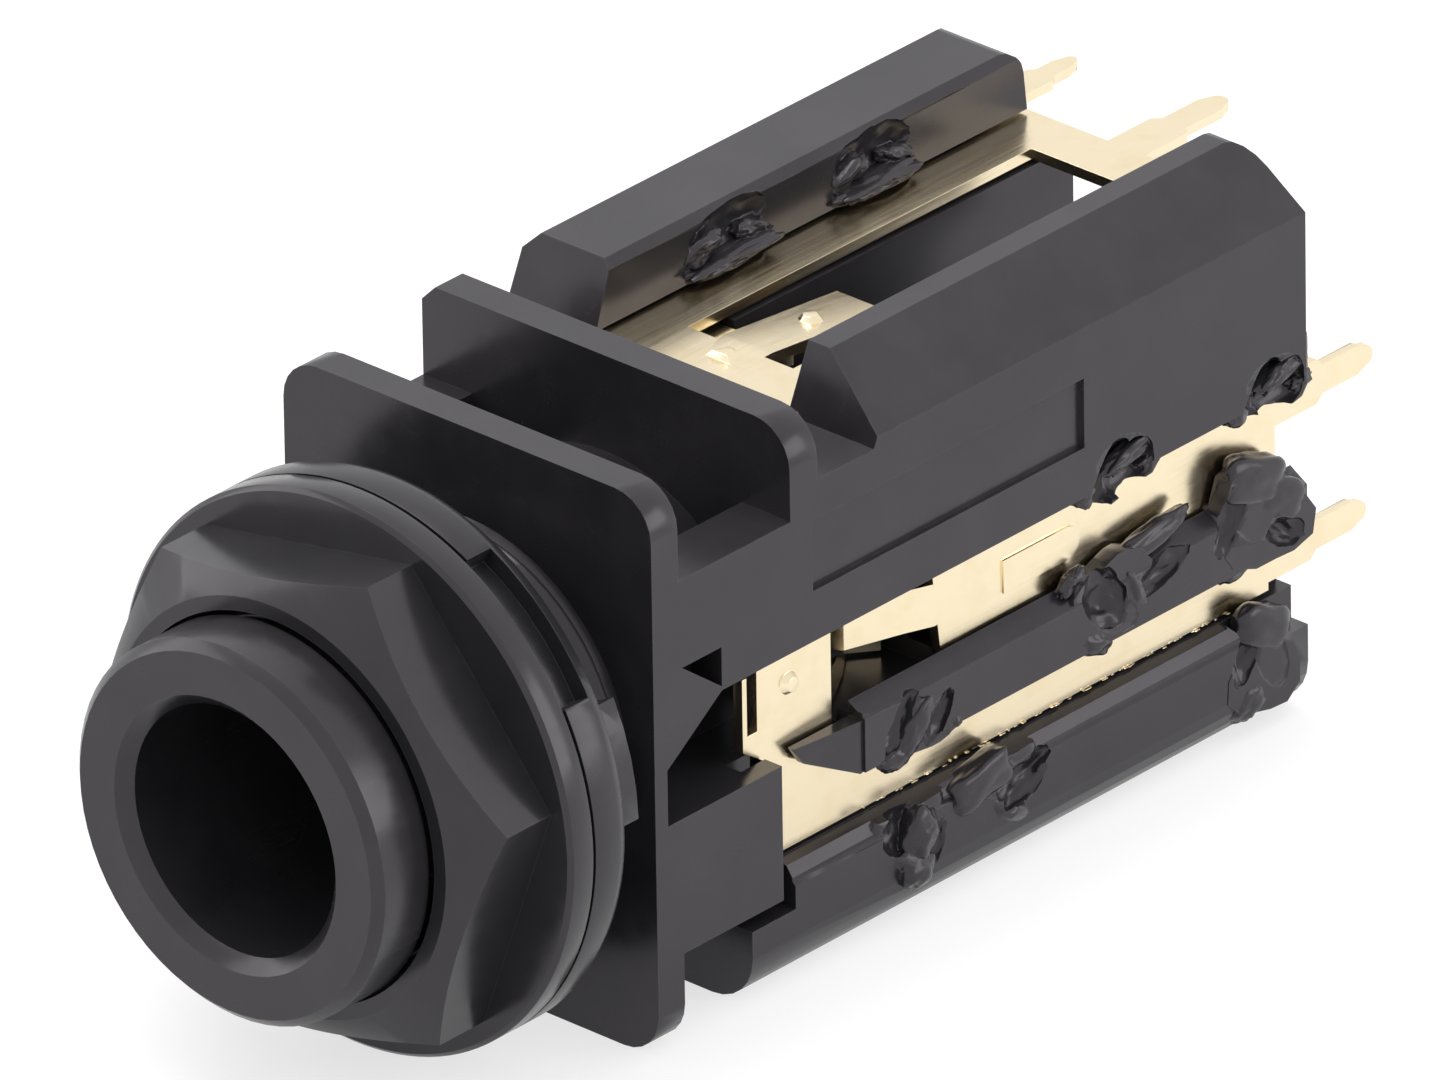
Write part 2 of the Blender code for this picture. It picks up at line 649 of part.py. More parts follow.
def left_stakes():
    """Lips of the left wall over the top sheet, with a hollow above each."""
    lips, hollows = [], []
    low, high = ROOF + SLIVER, ROOF + SHEET
    for i, share in enumerate(LEFT_STAKES):
        start = along(share) - STAKE_LENGTH / 2
        outline = [(b, a) for a, b in ragged(start, STAKE_LENGTH, -LEFT_WALL_INNER, LIP_REACH / 2, 3 * i)]
        lips.append(prism(outline, "z", low, high))
        middle = (-LEFT_WALL_INNER + SCOOP_DEPTH, along(share), ROOF + SHEET + SCOOP_HEIGHT)
        hollows.append(scoop(middle, (2 * SCOOP_DEPTH, STAKE_LENGTH * 0.4, SCOOP_HEIGHT)))
    return lips, hollows


def side_windows():
    """The window beside the panel plate, its ramp and the small triangle above it."""
    notch_top = WALL_BOTTOM + NOTCH_RISE
    notch_rear = NOTCH_FRONT + NOTCH_LENGTH
    tools = []
    for sign in (-1, 1):
        near, far = sorted((sign * (HALF_W - WINDOW_DEPTH), sign * (HALF_W + PAST)))
        opening = [
            (PLATE_SKIN, WINDOW_BOTTOM),
            (RIB_FRONT, WINDOW_BOTTOM),
            (RIB_FRONT, WALL_BOTTOM),
            (notch_rear, WALL_BOTTOM),
            (PLATE_SKIN, WINDOW_BOTTOM + WALL_BOTTOM),
        ]
        tools.append(prism(opening, "x", near, far))
        near, far = sorted((sign * (HALF_W - NOTCH_DEPTH), sign * (HALF_W + PAST)))
        triangle = [
            (NOTCH_FRONT, notch_top), (notch_rear, notch_top), (notch_rear, WALL_BOTTOM + SHEET_GAP)]
        tools.append(prism(triangle, "x", near, far))
    return tools


def sheet_rooms():
    """Grooves in which the front of each lower side sheet stands."""
    tools = []
    for sign in (-1, 1):
        near, far = sorted((sign * SIDE_FLOOR, sign * COVER))
        tools.append(block(
            near, far, SLEEVE_FRONT - 2 * SHEET_GAP, RIB_FRONT,
            RAIL_TOP - EDGE_TUCK, WALL_BOTTOM + EDGE_TUCK))
    return tools


def spring_slots():
    """Slots that let the springs reach the plug."""
    tools = [block(
        -TOP_SLOT_HALF_WIDTH, TOP_SLOT_HALF_WIDTH, WALL_FRONT, BODY_REAR + PAST, 0, TOP_FLOOR + PAST)]
    half = TIP_ARM_HEIGHT / 2 + SLOT_ROOM
    fold_front = TIP_SHEET_FRONT - TIP_FOLD - 4 * SLOT_ROOM
    pocket = SIDE_FLOOR - POCKET_DEPTH
    for sign in (-1, 1):
        near, far = sorted((0, sign * (SIDE_FLOOR + SHEET_GAP)))
        tools.append(block(
            near, far, fold_front, TIP_ARM_END + PAST, TIP_ARM_MIDDLE - half, TIP_ARM_MIDDLE + half))
        tools.append(block(
            near, far, SLEEVE_TONGUE_REAR - BITE, SLEEVE_ARM_END + BITE,
            SLEEVE_ARM_LOW - SLOT_ROOM, SLEEVE_ARM_TOP + SLOT_ROOM))
        near, far = sorted((sign * pocket, sign * (SIDE_FLOOR + SHEET_GAP)))
        tools.append(block(
            near, far, SLEEVE_TONGUE_REAR - SHEET_GAP, TIP_SHEET_FRONT + TIP_SHEET_SLANT + PAST,
            RIB_TOP - EDGE_TUCK + SLOT_ROOM, WALL_BOTTOM + SLOT_ROOM))
    half = SWITCH_FINGER_WIDTH / 2 + 2 * SLOT_ROOM
    tools.append(block(
        SWITCH_STRIP_X, 0, SWITCH_FINGER_Y - half, SWITCH_FINGER_Y + half,
        TOP_FLOOR - 3 * SHEET, TOP_FLOOR + SHEET_GAP))
    return tools


def name_recess():
    front = SECOND_PLATE_FRONT + RECESS_OFFSET
    rear = front + RECESS_LENGTH
    low = WALL_BOTTOM + RECESS_RISE
    high = low + RECESS_HEIGHT
    points = [(front, low), (rear, low), (rear, high), (front, high)]
    return prism(points, "x", HALF_W - RECESS_DEPTH, HALF_W + PAST)


def housing():
    body = rear_body()
    cut(body, front_cuts() + rear_cuts())
    join(body, plates() + between_plates() + rib_beaks())
    join(body, [nose_tube()])
    cut(body, [cylinder(PLUG_BORE_R, -PAST, BODY_REAR + PAST)])
    cut(body, side_windows() + sheet_rooms() + spring_slots() + [name_recess()])
    for sign in (-1, 1):
        knobs, deep = end_knobs(sign)
        lips, hollows = side_stakes(sign)
        join(body, knobs + lips)
        cut(body, deep + hollows)
    lips, hollows = left_stakes()
    join(body, lips)
    cut(body, hollows)
    return finish(body, "housing", "housing")


def hex_nut():
    inside_flange = (FLANGE_FRONT + FLANGE_REAR) / 2
    nut = turned([
        (NUT_BORE_R, NUT_FRONT),
        (NOSE_R + NUT_FACE_STEP, NUT_FRONT),
        (NUT_CORNER_R, NUT_FRONT + NUT_CONE_LENGTH),
        (NUT_CORNER_R, inside_flange),
        (NUT_BORE_R, inside_flange),
    ], segments=2 * ROUND)
    points = []
    for i in range(6):
        angle = math.radians(NUT_TURN + 60 * i)
        points.append((NUT_CORNER_R * math.sin(angle), NUT_CORNER_R * math.cos(angle)))
    six_sides = prism(points, "y", NUT_FRONT - PAST, FLANGE_REAR + PAST)
    boolean(nut, [six_sides], "INTERSECT")
    flange = turned([
        (NUT_BORE_R, FLANGE_FRONT),
        (FLANGE_R - FLANGE_EDGE, FLANGE_FRONT),
        (FLANGE_R, FLANGE_FRONT + FLANGE_EDGE),
        (FLANGE_R, FLANGE_REAR),
        (NUT_BORE_R, FLANGE_REAR),
    ], segments=2 * ROUND)
    join(nut, [flange])
    return finish(nut, "hex_nut", "nut")


def sector(inner, outer, start, end, y0, y1):
    """A piece of a ring round the plug axis. Angles in degrees from +Z towards +X."""
    steps = max(3, int(abs(end - start) / 6))
    points = []
    for radius, first, last in ((inner, end, start), (outer, start, end)):
        for i in range(steps + 1):
            angle = math.radians(first + (last - first) * i / steps)
            points.append((radius * math.sin(angle), radius * math.cos(angle)))
    return prism(points, "y", y0, y1)


def washer_ring():
    ring = turned([
        (NUT_BORE_R, RING_FRONT),
        (FLANGE_R, RING_FRONT),
        (FLANGE_R, RING_REAR - RING_EDGE),
        (FLANGE_R - RING_EDGE * 0.3, RING_REAR - RING_EDGE * 0.3),
        (FLANGE_R - RING_EDGE, RING_REAR),
        (NUT_BORE_R, RING_REAR),
    ], segments=2 * ROUND)
    notch = sector(
        FLANGE_R - RING_NOTCH_DEPTH, FLANGE_R + PAST, RING_NOTCH_FROM, RING_NOTCH_TO,
        RING_FRONT - PAST, RING_FRONT + RING_NOTCH_LENGTH)
    lug = sector(
        (NUT_BORE_R + FLANGE_R) / 2, FLANGE_R - RING_EDGE * 0.4, RING_LUG_FROM, RING_LUG_TO,
        RING_FRONT + RING_THICKNESS / 2, RING_REAR + RING_LUG_LENGTH)
    cut(ring, [notch])
    join(ring, [lug])
    return finish(ring, "washer_ring", "washer")


def pin_outline(root, length, middle):
    """A solder pin in its sheet's plane: a broad root, then a slim end with a rounded tip."""
    broad = PIN_ROOT_WIDTH / 2
    half = PIN_WIDTH / 2
    end = root + length
    shoulder = root + PIN_ROOT_LENGTH
    tip = half * 0.7
    points = [(root - SHEET, middle - broad), (shoulder, middle - broad)]
    points += [(shoulder + broad - half, middle - half), (end - 2 * tip, middle - half)]
    points += arc((end - tip, middle), tip, -90, 90)
    points += [(end - 2 * tip, middle + half), (shoulder + broad - half, middle + half)]
    points += [(shoulder, middle + broad), (root - SHEET, middle + broad)]
    return points


def dimple(target, centre, direction, radius=DIMPLE_R, segments=16):
    """A pressed mark that stands out of one face of the sheet."""
    axis = Vector(direction)
    height = DIMPLE_DEPTH + SHEET / 2
    bm = bmesh.new()
    bmesh.ops.create_cone(
        bm, cap_ends=True, segments=segments, radius1=radius, radius2=radius * DIMPLE_NARROWING, depth=height)
    turn = Vector((0, 0, 1)).rotation_difference(axis).to_matrix().to_4x4()
    shift = Vector(centre) + axis * height / 2
    bmesh.ops.transform(bm, matrix=Matrix.Translation(shift) @ turn, verts=bm.verts)
    return join(target, [object_from(bm, "dimple")])


def ring_spring():
    """Top sheet: two strips, a tongue that hooks down to the plug, and a pin."""
    half = TOP_SHEET_HALF_WIDTH
    low, high = TOP_SHEET_Z, TOP_SHEET_Z + SHEET
    front = SECOND_PLATE_REAR + TOP_SHEET_OFFSET
    sheet = block(-half, half, front, TOP_SHEET_REAR, low, high)
    gap = block(
        -half + TOP_STRIP_WIDTH, half - TOP_STRIP_WIDTH, TONGUE_ROOT,
        TOP_SHEET_REAR - TOP_CROSS_PIECE, low - PAST, high + PAST)
    cut(sheet, [gap])
    middle = low + SHEET / 2
    drop = middle - TONGUE_DROP
    path = [
        (TONGUE_ROOT - SHEET, middle),
        (TONGUE_ROOT + SHEET, middle),
        (TONGUE_END - SHEET, drop),
        (TONGUE_END, drop - SHEET),
        (TONGUE_END - HOOK, CONTACT_R + SHEET),
        (TONGUE_END - 2 * HOOK, CONTACT_R),
        (TONGUE_END - 3 * HOOK, CONTACT_R + 2 * SHEET),
    ]
    tongue = prism(ribbon(path, SHEET), "x", -TONGUE_WIDTH / 2, TONGUE_WIDTH / 2)
    pin = [(b, a) for a, b in pin_outline(TOP_SHEET_REAR, TOP_PIN_LENGTH, 0)]
    join(sheet, [tongue, prism(pin, "z", low + SLIVER, high - SLIVER)])
    place = TONGUE_ROOT + TONGUE_DIMPLE_SHARE * TONGUE_LENGTH
    dimple(sheet, (0, place, middle - TONGUE_DIMPLE_SHARE * TONGUE_DROP), (0, 0, 1))
    dimple(sheet, (0, TONGUE_ROOT - DART_R, middle), (0, 0, 1), DART_R, 3)
    return finish(sheet, "ring_spring", "gold")


def ring_switch():
    """Strip under the left wall, with a finger that ends under the ring tongue."""
    low, high = TOP_SHEET_Z, TOP_SHEET_Z + SHEET
    half = SWITCH_STRIP_WIDTH / 2
    front = SECOND_PLATE_REAR + SWITCH_STRIP_OFFSET
    strip = block(SWITCH_STRIP_X - half, SWITCH_STRIP_X + half, front, TOP_SHEET_REAR, low, high)
    outline = pin_outline(TOP_SHEET_REAR, SWITCH_PIN_LENGTH, 0)
    shrink = SWITCH_STRIP_WIDTH / PIN_ROOT_WIDTH
    pin = [(SWITCH_STRIP_X + b * shrink, a) for a, b in outline]
    middle = low + SHEET / 2
    under = TOP_FLOOR - SHEET_GAP - SHEET / 2
    path = [
        (SWITCH_STRIP_X, middle),
        (SWITCH_STRIP_X + half - SHEET / 2, middle),
        (SWITCH_STRIP_X + half + SHEET / 2, under),
        (TONGUE_WIDTH / 3, under),
    ]
    finger = prism(
        ribbon(path, SHEET), "y", SWITCH_FINGER_Y - SWITCH_FINGER_WIDTH / 2,
        SWITCH_FINGER_Y + SWITCH_FINGER_WIDTH / 2)
    join(strip, [prism(pin, "z", low + SLIVER, high - SLIVER), finger])
    return finish(strip, "ring_switch", "gold")


def emboss(sign):
    """The pressed D on an upper side sheet, with its round end to the rear."""
    front = TIP_SHEET_FRONT + EMBOSS_OFFSET
    half = EMBOSS_HEIGHT / 2
    rear = front + EMBOSS_LENGTH - half
    outline = [(front, -half)]
    outline += arc((rear, 0), half, -90, 90)
    outline += [(front, half)]
    outline = [(a, TIP_ARM_MIDDLE - SHEET_GAP * 2 + b) for a, b in outline]
    face = SIDE_SHEET_X + SHEET
    near, far = sorted((sign * (face - SHEET / 2), sign * (face + EMBOSS_RISE)))
    return prism(outline, "x", near, far)


def tip_contact(sign, name):
    """Upper side sheet. Its arm folds back inside and reaches the plug's tip."""
    near, far = sorted((sign * SIDE_SHEET_X, sign * (SIDE_SHEET_X + SHEET)))
    tuck = EDGE_TUCK - SHEET_GAP
    low, high = RIB_TOP - tuck, WALL_BOTTOM + tuck
    pin_middle = high - SHEET_TUCK - PIN_ROOT_WIDTH / 2 - SHEET_GAP
    outline = [
        (TIP_SHEET_FRONT + TIP_SHEET_SLANT, low), (TIP_SHEET_REAR, low),
        (TIP_SHEET_REAR, high), (TIP_SHEET_FRONT, high)]
    sheet = prism(outline, "x", near, far, name)
    pin = pin_outline(TIP_SHEET_REAR, SIDE_PIN_LENGTH, pin_middle)
    middle = SIDE_SHEET_X + SHEET / 2
    straight = PLUG_BORE_R + TIP_ARM_STAND_OFF
    fold = TIP_SHEET_FRONT - TIP_FOLD
    path = [
        (middle, TIP_SHEET_FRONT + TIP_SHEET_SLANT),
        (middle, TIP_SHEET_FRONT + SHEET / 2),
        (middle - SHEET, TIP_SHEET_FRONT - TIP_FOLD / 4),
        ((middle + straight) / 2, fold + SHEET),
        (straight + SHEET, fold),
        (straight, fold + SHEET),
        (straight, TIP_ARM_END - 3.5 * HOOK),
        (CONTACT_R, TIP_ARM_END - 1.2 * HOOK),
        (CONTACT_R + 2 * SHEET, TIP_ARM_END),
    ]
    path = [(sign * a, b) for a, b in path]
    arm = prism(
        ribbon(path, SHEET), "z", TIP_ARM_MIDDLE - TIP_ARM_HEIGHT / 2, TIP_ARM_MIDDLE + TIP_ARM_HEIGHT / 2)
    inner, outer = near + SLIVER, far - SLIVER
    join(sheet, [prism(pin, "x", inner, outer), arm, emboss(sign)])
    return finish(sheet, name, "gold")


def sleeve_arm(sign):
    """The tongue that bends in behind the window and touches the plug's sleeve."""
    middle = SIDE_SHEET_X + SHEET / 2
    start = SLEEVE_TONGUE_REAR
    path = [
        (middle, start - SHEET),
        (middle - SHEET / 2, start + SHEET / 3),
        (middle - 2 * SHEET, start + 1.5 * SHEET),
        (PLUG_BORE_R + SHEET, start + 0.55 * SLEEVE_ARM_LENGTH),
        (CONTACT_R, start + 0.8 * SLEEVE_ARM_LENGTH),
        (CONTACT_R + 2 * SHEET, SLEEVE_ARM_END),
    ]
    path = [(sign * a, b) for a, b in path]
    return prism(ribbon(path, SHEET), "z", SLEEVE_ARM_LOW, SLEEVE_ARM_TOP)


def sleeve_contact(sign, name):
    """Lower side sheet, with a thin leg and the tongue that shows in the window."""
    near, far = sorted((sign * SIDE_SHEET_X, sign * (SIDE_SHEET_X + SHEET)))
    tuck = EDGE_TUCK - SHEET_GAP
    low, high = RAIL_TOP - tuck, RIB_BOTTOM + tuck
    leg_top = SLEEVE_WEB_TOP + SLEEVE_LEG_HEIGHT * 0.8
    leg_low = SLEEVE_WEB_TOP - 4 * SLOT_ROOM
    rear = RIB_FRONT - 2 * SHEET_GAP
    outline = [
        (SLEEVE_FRONT, leg_low),
        (SLEEVE_FRONT + SLEEVE_LEG_REACH, leg_low - SLEEVE_LEG_SLOPE),
        (SLEEVE_FRONT + SLEEVE_LEG_REACH, low),
        (SLEEVE_REAR, low),
        (SLEEVE_REAR, high),
        (rear, high),
        (rear, SLEEVE_ARM_LOW - SHEET),
        (SLEEVE_TONGUE_REAR, SLEEVE_ARM_LOW),
        (SLEEVE_TONGUE_REAR, WALL_BOTTOM + tuck),
        (SLEEVE_TONGUE_FRONT, WALL_BOTTOM + tuck),
        (SLEEVE_TONGUE_FRONT, SLEEVE_WEB_TOP),
        (SLEEVE_FRONT + SLEEVE_LEG, SLEEVE_WEB_TOP),
        (SLEEVE_FRONT + SLEEVE_LEG, leg_top),
        (SLEEVE_FRONT, leg_top),
    ]
    sheet = prism(outline, "x", near, far, name)
    pin = pin_outline(SLEEVE_REAR, SIDE_PIN_LENGTH, (low + high) / 2)
    join(sheet, [prism(pin, "x", near + SLIVER, far - SLIVER), sleeve_arm(sign)])
    centre = SLEEVE_TONGUE_FRONT + SLEEVE_TONGUE_WIDTH / 2 - 2 * SHEET_GAP
    dimple(sheet, (sign * (SIDE_SHEET_X + SHEET / 2), centre, SLEEVE_WEB_TOP + SLEEVE_DIMPLE_RISE), (sign, 0, 0))
    return finish(sheet, name, "gold")


def build():
    clear_scene()
    housing()
    hex_nut()
    washer_ring()
    ring_spring()
    ring_switch()
    tip_contact(1, "tip_spring")
    tip_contact(-1, "tip_switch")
    sleeve_contact(1, "sleeve_spring")
    sleeve_contact(-1, "sleeve_switch")


build()
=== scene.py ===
"""The looks of the panel audio jack socket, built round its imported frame."""
import json
import math
from collections import namedtuple

import bmesh
import bpy
from mathutils import Matrix, Vector, noise

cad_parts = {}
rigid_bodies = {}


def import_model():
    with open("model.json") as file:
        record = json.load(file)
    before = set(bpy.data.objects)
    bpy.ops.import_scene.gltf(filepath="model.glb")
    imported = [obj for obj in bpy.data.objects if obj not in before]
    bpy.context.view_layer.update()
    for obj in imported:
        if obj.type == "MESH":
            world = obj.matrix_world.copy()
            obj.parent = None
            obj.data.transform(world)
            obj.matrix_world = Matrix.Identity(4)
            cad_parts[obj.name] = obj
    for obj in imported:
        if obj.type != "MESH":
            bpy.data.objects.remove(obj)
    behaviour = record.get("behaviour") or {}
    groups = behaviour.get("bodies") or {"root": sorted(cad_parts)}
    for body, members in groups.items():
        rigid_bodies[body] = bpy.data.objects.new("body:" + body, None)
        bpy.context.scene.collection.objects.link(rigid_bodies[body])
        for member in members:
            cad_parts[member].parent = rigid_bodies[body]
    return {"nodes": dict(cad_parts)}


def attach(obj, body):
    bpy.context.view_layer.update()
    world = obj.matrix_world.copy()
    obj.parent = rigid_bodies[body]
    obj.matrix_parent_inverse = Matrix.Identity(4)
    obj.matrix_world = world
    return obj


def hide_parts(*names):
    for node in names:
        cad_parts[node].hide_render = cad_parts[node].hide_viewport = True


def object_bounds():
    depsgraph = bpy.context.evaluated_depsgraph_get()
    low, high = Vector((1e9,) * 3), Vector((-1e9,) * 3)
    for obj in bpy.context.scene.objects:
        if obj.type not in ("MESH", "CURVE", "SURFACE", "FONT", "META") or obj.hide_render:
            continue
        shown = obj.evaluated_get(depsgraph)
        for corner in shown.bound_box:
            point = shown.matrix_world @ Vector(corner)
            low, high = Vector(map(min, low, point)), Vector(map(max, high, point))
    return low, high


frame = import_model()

MM = 0.001
CAD_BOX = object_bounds()
SIDES = (-1, 1)
CONTACTS = (
    "ring_spring", "ring_switch", "tip_spring", "tip_switch", "sleeve_spring", "sleeve_switch")

# The photograph's camera, worked out from the edges of the plates and the rim of the nose
PHOTO_WIDTH = 1440.0
PHOTO_HEIGHT = 1080.0
CAMERA_AZIMUTH = 42.95
CAMERA_ELEVATION = 27.84
CAMERA_ROLL = 1.13
CAMERA_DISTANCE = 0.782
CAMERA_CLIP = (0.01, 20.0)
PIXELS_PER_METRE = 41350.0
ORIGIN_PIXEL = (470.9, 706.4)
SENSOR = 36.0

# Studio: each sky is given as its brightness away from the key and towards it. KEY_FADE is the
# cosine, measured from the key, at which the first of the two is reached.
WHITE = (1.0, 1.0, 1.0, 1.0)
KEY_DIRECTION = (0.35, 0.25, 0.90)
KEY_FADE = -0.4
DIFFUSE_SKY = (0.15, 1.6)
GLOSSY_SKY = (1.00, 0.92)
FLOOR_REACH = 1.5
FLOOR_BASE = 0.30
FLOOR_ROUGHNESS = 0.9
FLOOR_GLOSS = 0.1
FLOOR_SEEN = 0.70
FLOOR_MIRRORED = 0.56
BODY_MIDDLE = (0.0, 0.008, 0.0)
Softbox = namedtuple("Softbox", "name place size power")
SOFTBOXES = (
    Softbox("top_softbox", (-0.16, -0.02, 0.48), 0.30, 1.3),
    Softbox("right_softbox", (0.42, 0.26, 0.12), 0.30, 0.60),
    Softbox("left_fill", (-0.40, -0.20, 0.16), 0.30, 0.45),
)

# Noises in the materials: cells in a metre and levels of detail
NOISE_ROUGHNESS = 0.55
CLOUDS = (420.0, 3.0)
STREAKS = (1400.0, 4.0)
GRAIN = (14000.0, 2.0)
NICKS = (2300.0, 3.0)
ROLL_LINES = (9000.0, 2.0)
WAVES = (230.0, 1.0)
STAINS = (1100.0, 4.0)

# Moulded plastics: each one's darker and paler colour, roughness and depth of grain
HOUSING_BLACK = ((0.0165, 0.0155, 0.0175, 1.0), (0.0235, 0.022, 0.025, 1.0), 0.23, 0.0013 * MM)
NUT_BLACK = ((0.0155, 0.015, 0.0165, 1.0), (0.021, 0.020, 0.0225, 1.0), 0.20, 0.001 * MM)
WASHER_BLACK = ((0.0145, 0.014, 0.0155, 1.0), (0.019, 0.0185, 0.0205, 1.0), 0.24, 0.001 * MM)
PLASTIC_IOR = 1.52
PLASTIC_SHEEN = (0.985, 0.925, 1.0, 1.0)
STREAK_STRETCH = (1.0, 0.12, 1.0)
CLOUD_SPAN = (0.35, 0.68)
STREAK_SPAN = (0.3, 0.7)
STREAK_ROUGHER = (-0.03, 0.05)
NICK_SPAN = (0.40, 0.66)
NICK_AMOUNT = (0.15, 1.3)
WORN_EDGE = 0.09 * MM
WORN_AMOUNT = 0.35
WORN_PALER = 3.2

# Gold plate
GOLD_BRIGHT = (0.95, 0.82, 0.58, 1.0)
GOLD_STAINED = (0.86, 0.67, 0.38, 1.0)
GOLD_SHEARED = (0.98, 0.86, 0.62, 1.0)
ROLL_STRETCH = (1.0, 0.03, 1.0)
ROLL_SPAN = (0.3, 0.7)
GOLD_ROUGHNESS = (0.19, 0.27)
STAIN_SPAN = (0.48, 0.78)
STAIN_AMOUNT = 0.35
SHEARED_EDGE = 0.03 * MM
SHEARED_AMOUNT = 0.35

# Bumps: depth and strength
CLOUD_BUMP = (0.02 * MM, 0.14)
STREAK_BUMP = (0.005 * MM, 0.14)
GRAIN_STRENGTH = 0.20
WAVE_BUMP = (0.02 * MM, 0.12)
ROLL_BUMP = (0.0012 * MM, 0.10)

# Shader helpers: ranges, the look-up of edges and the sockets of Blender's Mix node
UNIT = (0.0, 1.0)
EDGE_SAMPLES = 4
EDGE_ALIGNMENT = (0.995, 0.80)
MIX_FACTOR = 0
MIX_VALUES = (2, 3)
MIX_VALUE_RESULT = 0
MIX_COLOURS = (6, 7)
MIX_COLOUR_RESULT = 2

# Soft edges of the mouldings and stampings, and the shading of their faces. Angles are in degrees.
MOULD_EDGE = 0.07 * MM
NUT_EDGE = 0.09 * MM
SHEET_EDGE = 0.03 * MM
EDGE_SEGMENTS = 2
EDGE_OVER = 28
NODE_MERGE = 1e-6
FLAT_UNDER = 0.8
SMOOTH_UNDER = 40
MELT_SMOOTH_UNDER = 32
FLAT_FACE_WEIGHT = 100

# Screw thread on the nose, with the steps in one turn of it and of the room that it is cut into
THREAD_PITCH = 1.0 * MM
THREAD_CORE_R = 4.63 * MM
THREAD_RIDGE = 0.36 * MM
THREAD_RIDGE_SIDES = 4
THREAD_CREST_R = 0.07 * MM
THREAD_FRONT = -6.60 * MM
THREAD_REAR = -0.45 * MM
THREAD_RELIEF = 0.12 * MM
THREAD_STEPS = 56
ROOM_STEPS = 96
ROOM_MERGE = 1e-7

# Where the body's walls, rib and rail lie, as the solids have them, in millimetres
SIDE_X = 6.0
WALL_LOW = 1.52
RIB_MIDDLE = -2.08
RAIL_LINE = -4.78
LEFT_WALL_X = -3.10
ROOF = 6.0

# The rail's upper edge, worn to a flatter slope that mirrors the sheet above it, in millimetres
RAIL_SLOPE = ((5.36, -3.95), (5.36, -4.34), (6.20, -4.50), (6.20, -3.95))
RAIL_SLOPE_ENDS = (4.56, 21.2)

# Bright burrs on the sheared lower edges of the side sheets
BURR_X = 5.36 * MM
BURR_Z = -4.225 * MM
BURR_FROM = 8.2 * MM
BURR_TO = 21.6 * MM
BURR_COUNT = 75
BURR_SIZE = 0.04 * MM
BURR_DETAIL = 1
BURR_SEED = 7
BURR_SPREAD = ((-1, -6, -1), (0.5, 6, 0.5))
BURR_STRETCH = ((0.3, 0.4, 0.2), (1.1, 4.0, 1.0))

# A lump of plastic at a heat stake, in millimetres from the stake's own middle: outwards from the
# face, along the body and up. It is tilted in degrees about the first of these. A form of 2 is
# round, a higher one is blocky. Rough is how far its surface wanders: in a coarse and a fine wave,
# from another place in the noise for each lump.
FILL, GOUGE, RAISE = "fill", "gouge", "raise"
ROUND = 2.0
SQUARED = 2.6
BLOCKY = 4.0
BRICK = 9.0
MELT_ROUGHNESS = 0.20
MELT_DETAIL = 4
MELT_NOISE_STEP = (3.7, 1.3, 0.0)
MELT_COARSE_WAVE = 1.6
MELT_FINE_WAVE = 4.5
MELT_FINE_SHARE = 0.45
Lump = namedtuple(
    "Lump", "job place radii tilt form rough", defaults=(0, ROUND, MELT_ROUGHNESS))


def patch(place, radii):
    """Closes a plain hollow of the solids, just below the face round it."""
    return Lump(FILL, place, radii, form=BRICK, rough=0.0)


# How far in the middle of a patch lies, and how far below the face it stays, in millimetres
PATCH_MIDDLE = 0.5
FLUSH = 0.004
PATCH_DEEP = PATCH_MIDDLE - FLUSH
END_PATCH_DEEP = 0.46

# An arched gouge through a side wall's lower edge, a lip before it and torn plastic inside
WALL_STAKE = (
    patch((-PATCH_MIDDLE, 0.0, 0.72), (PATCH_DEEP, 1.35, 0.70)),
    Lump(GOUGE, (0.02, -0.55, 0.12), (0.60, 0.50, 1.15), -32, SQUARED, 0.06),
    Lump(GOUGE, (0.02, 0.20, 0.18), (0.60, 0.90, 0.70), 10, SQUARED, 0.08),
    Lump(RAISE, (-0.30, 0.42, 0.42), (0.24, 0.82, 0.26), 20, 3.0, 0.3),
    Lump(RAISE, (-0.26, -1.28, -0.04), (0.25, 0.38, 0.34), -34, SQUARED),
    Lump(RAISE, (-0.30, 1.20, -0.06), (0.22, 0.38, 0.22), 12, SQUARED, 0.35),
)

# Two slanting cuts across the rib, with the plastic between them and below
FRONT_RIB_STAKE = (
    patch((-PATCH_MIDDLE, 0.0, 0.0), (PATCH_DEEP, 1.25, 0.70)),
    Lump(GOUGE, (0.05, -0.75, 0.10), (0.45, 0.36, 0.95), -35),
    Lump(GOUGE, (0.05, 0.70, -0.25), (0.40, 0.34, 0.85), -35),
    Lump(RAISE, (-0.18, -0.15, -0.25), (0.34, 0.42, 1.00), -38),
    Lump(RAISE, (-0.20, -0.75, -0.85), (0.28, 0.60, 0.34), 8),
    Lump(RAISE, (-0.22, 1.25, -0.62), (0.26, 0.42, 0.26), 20, rough=0.4),
)

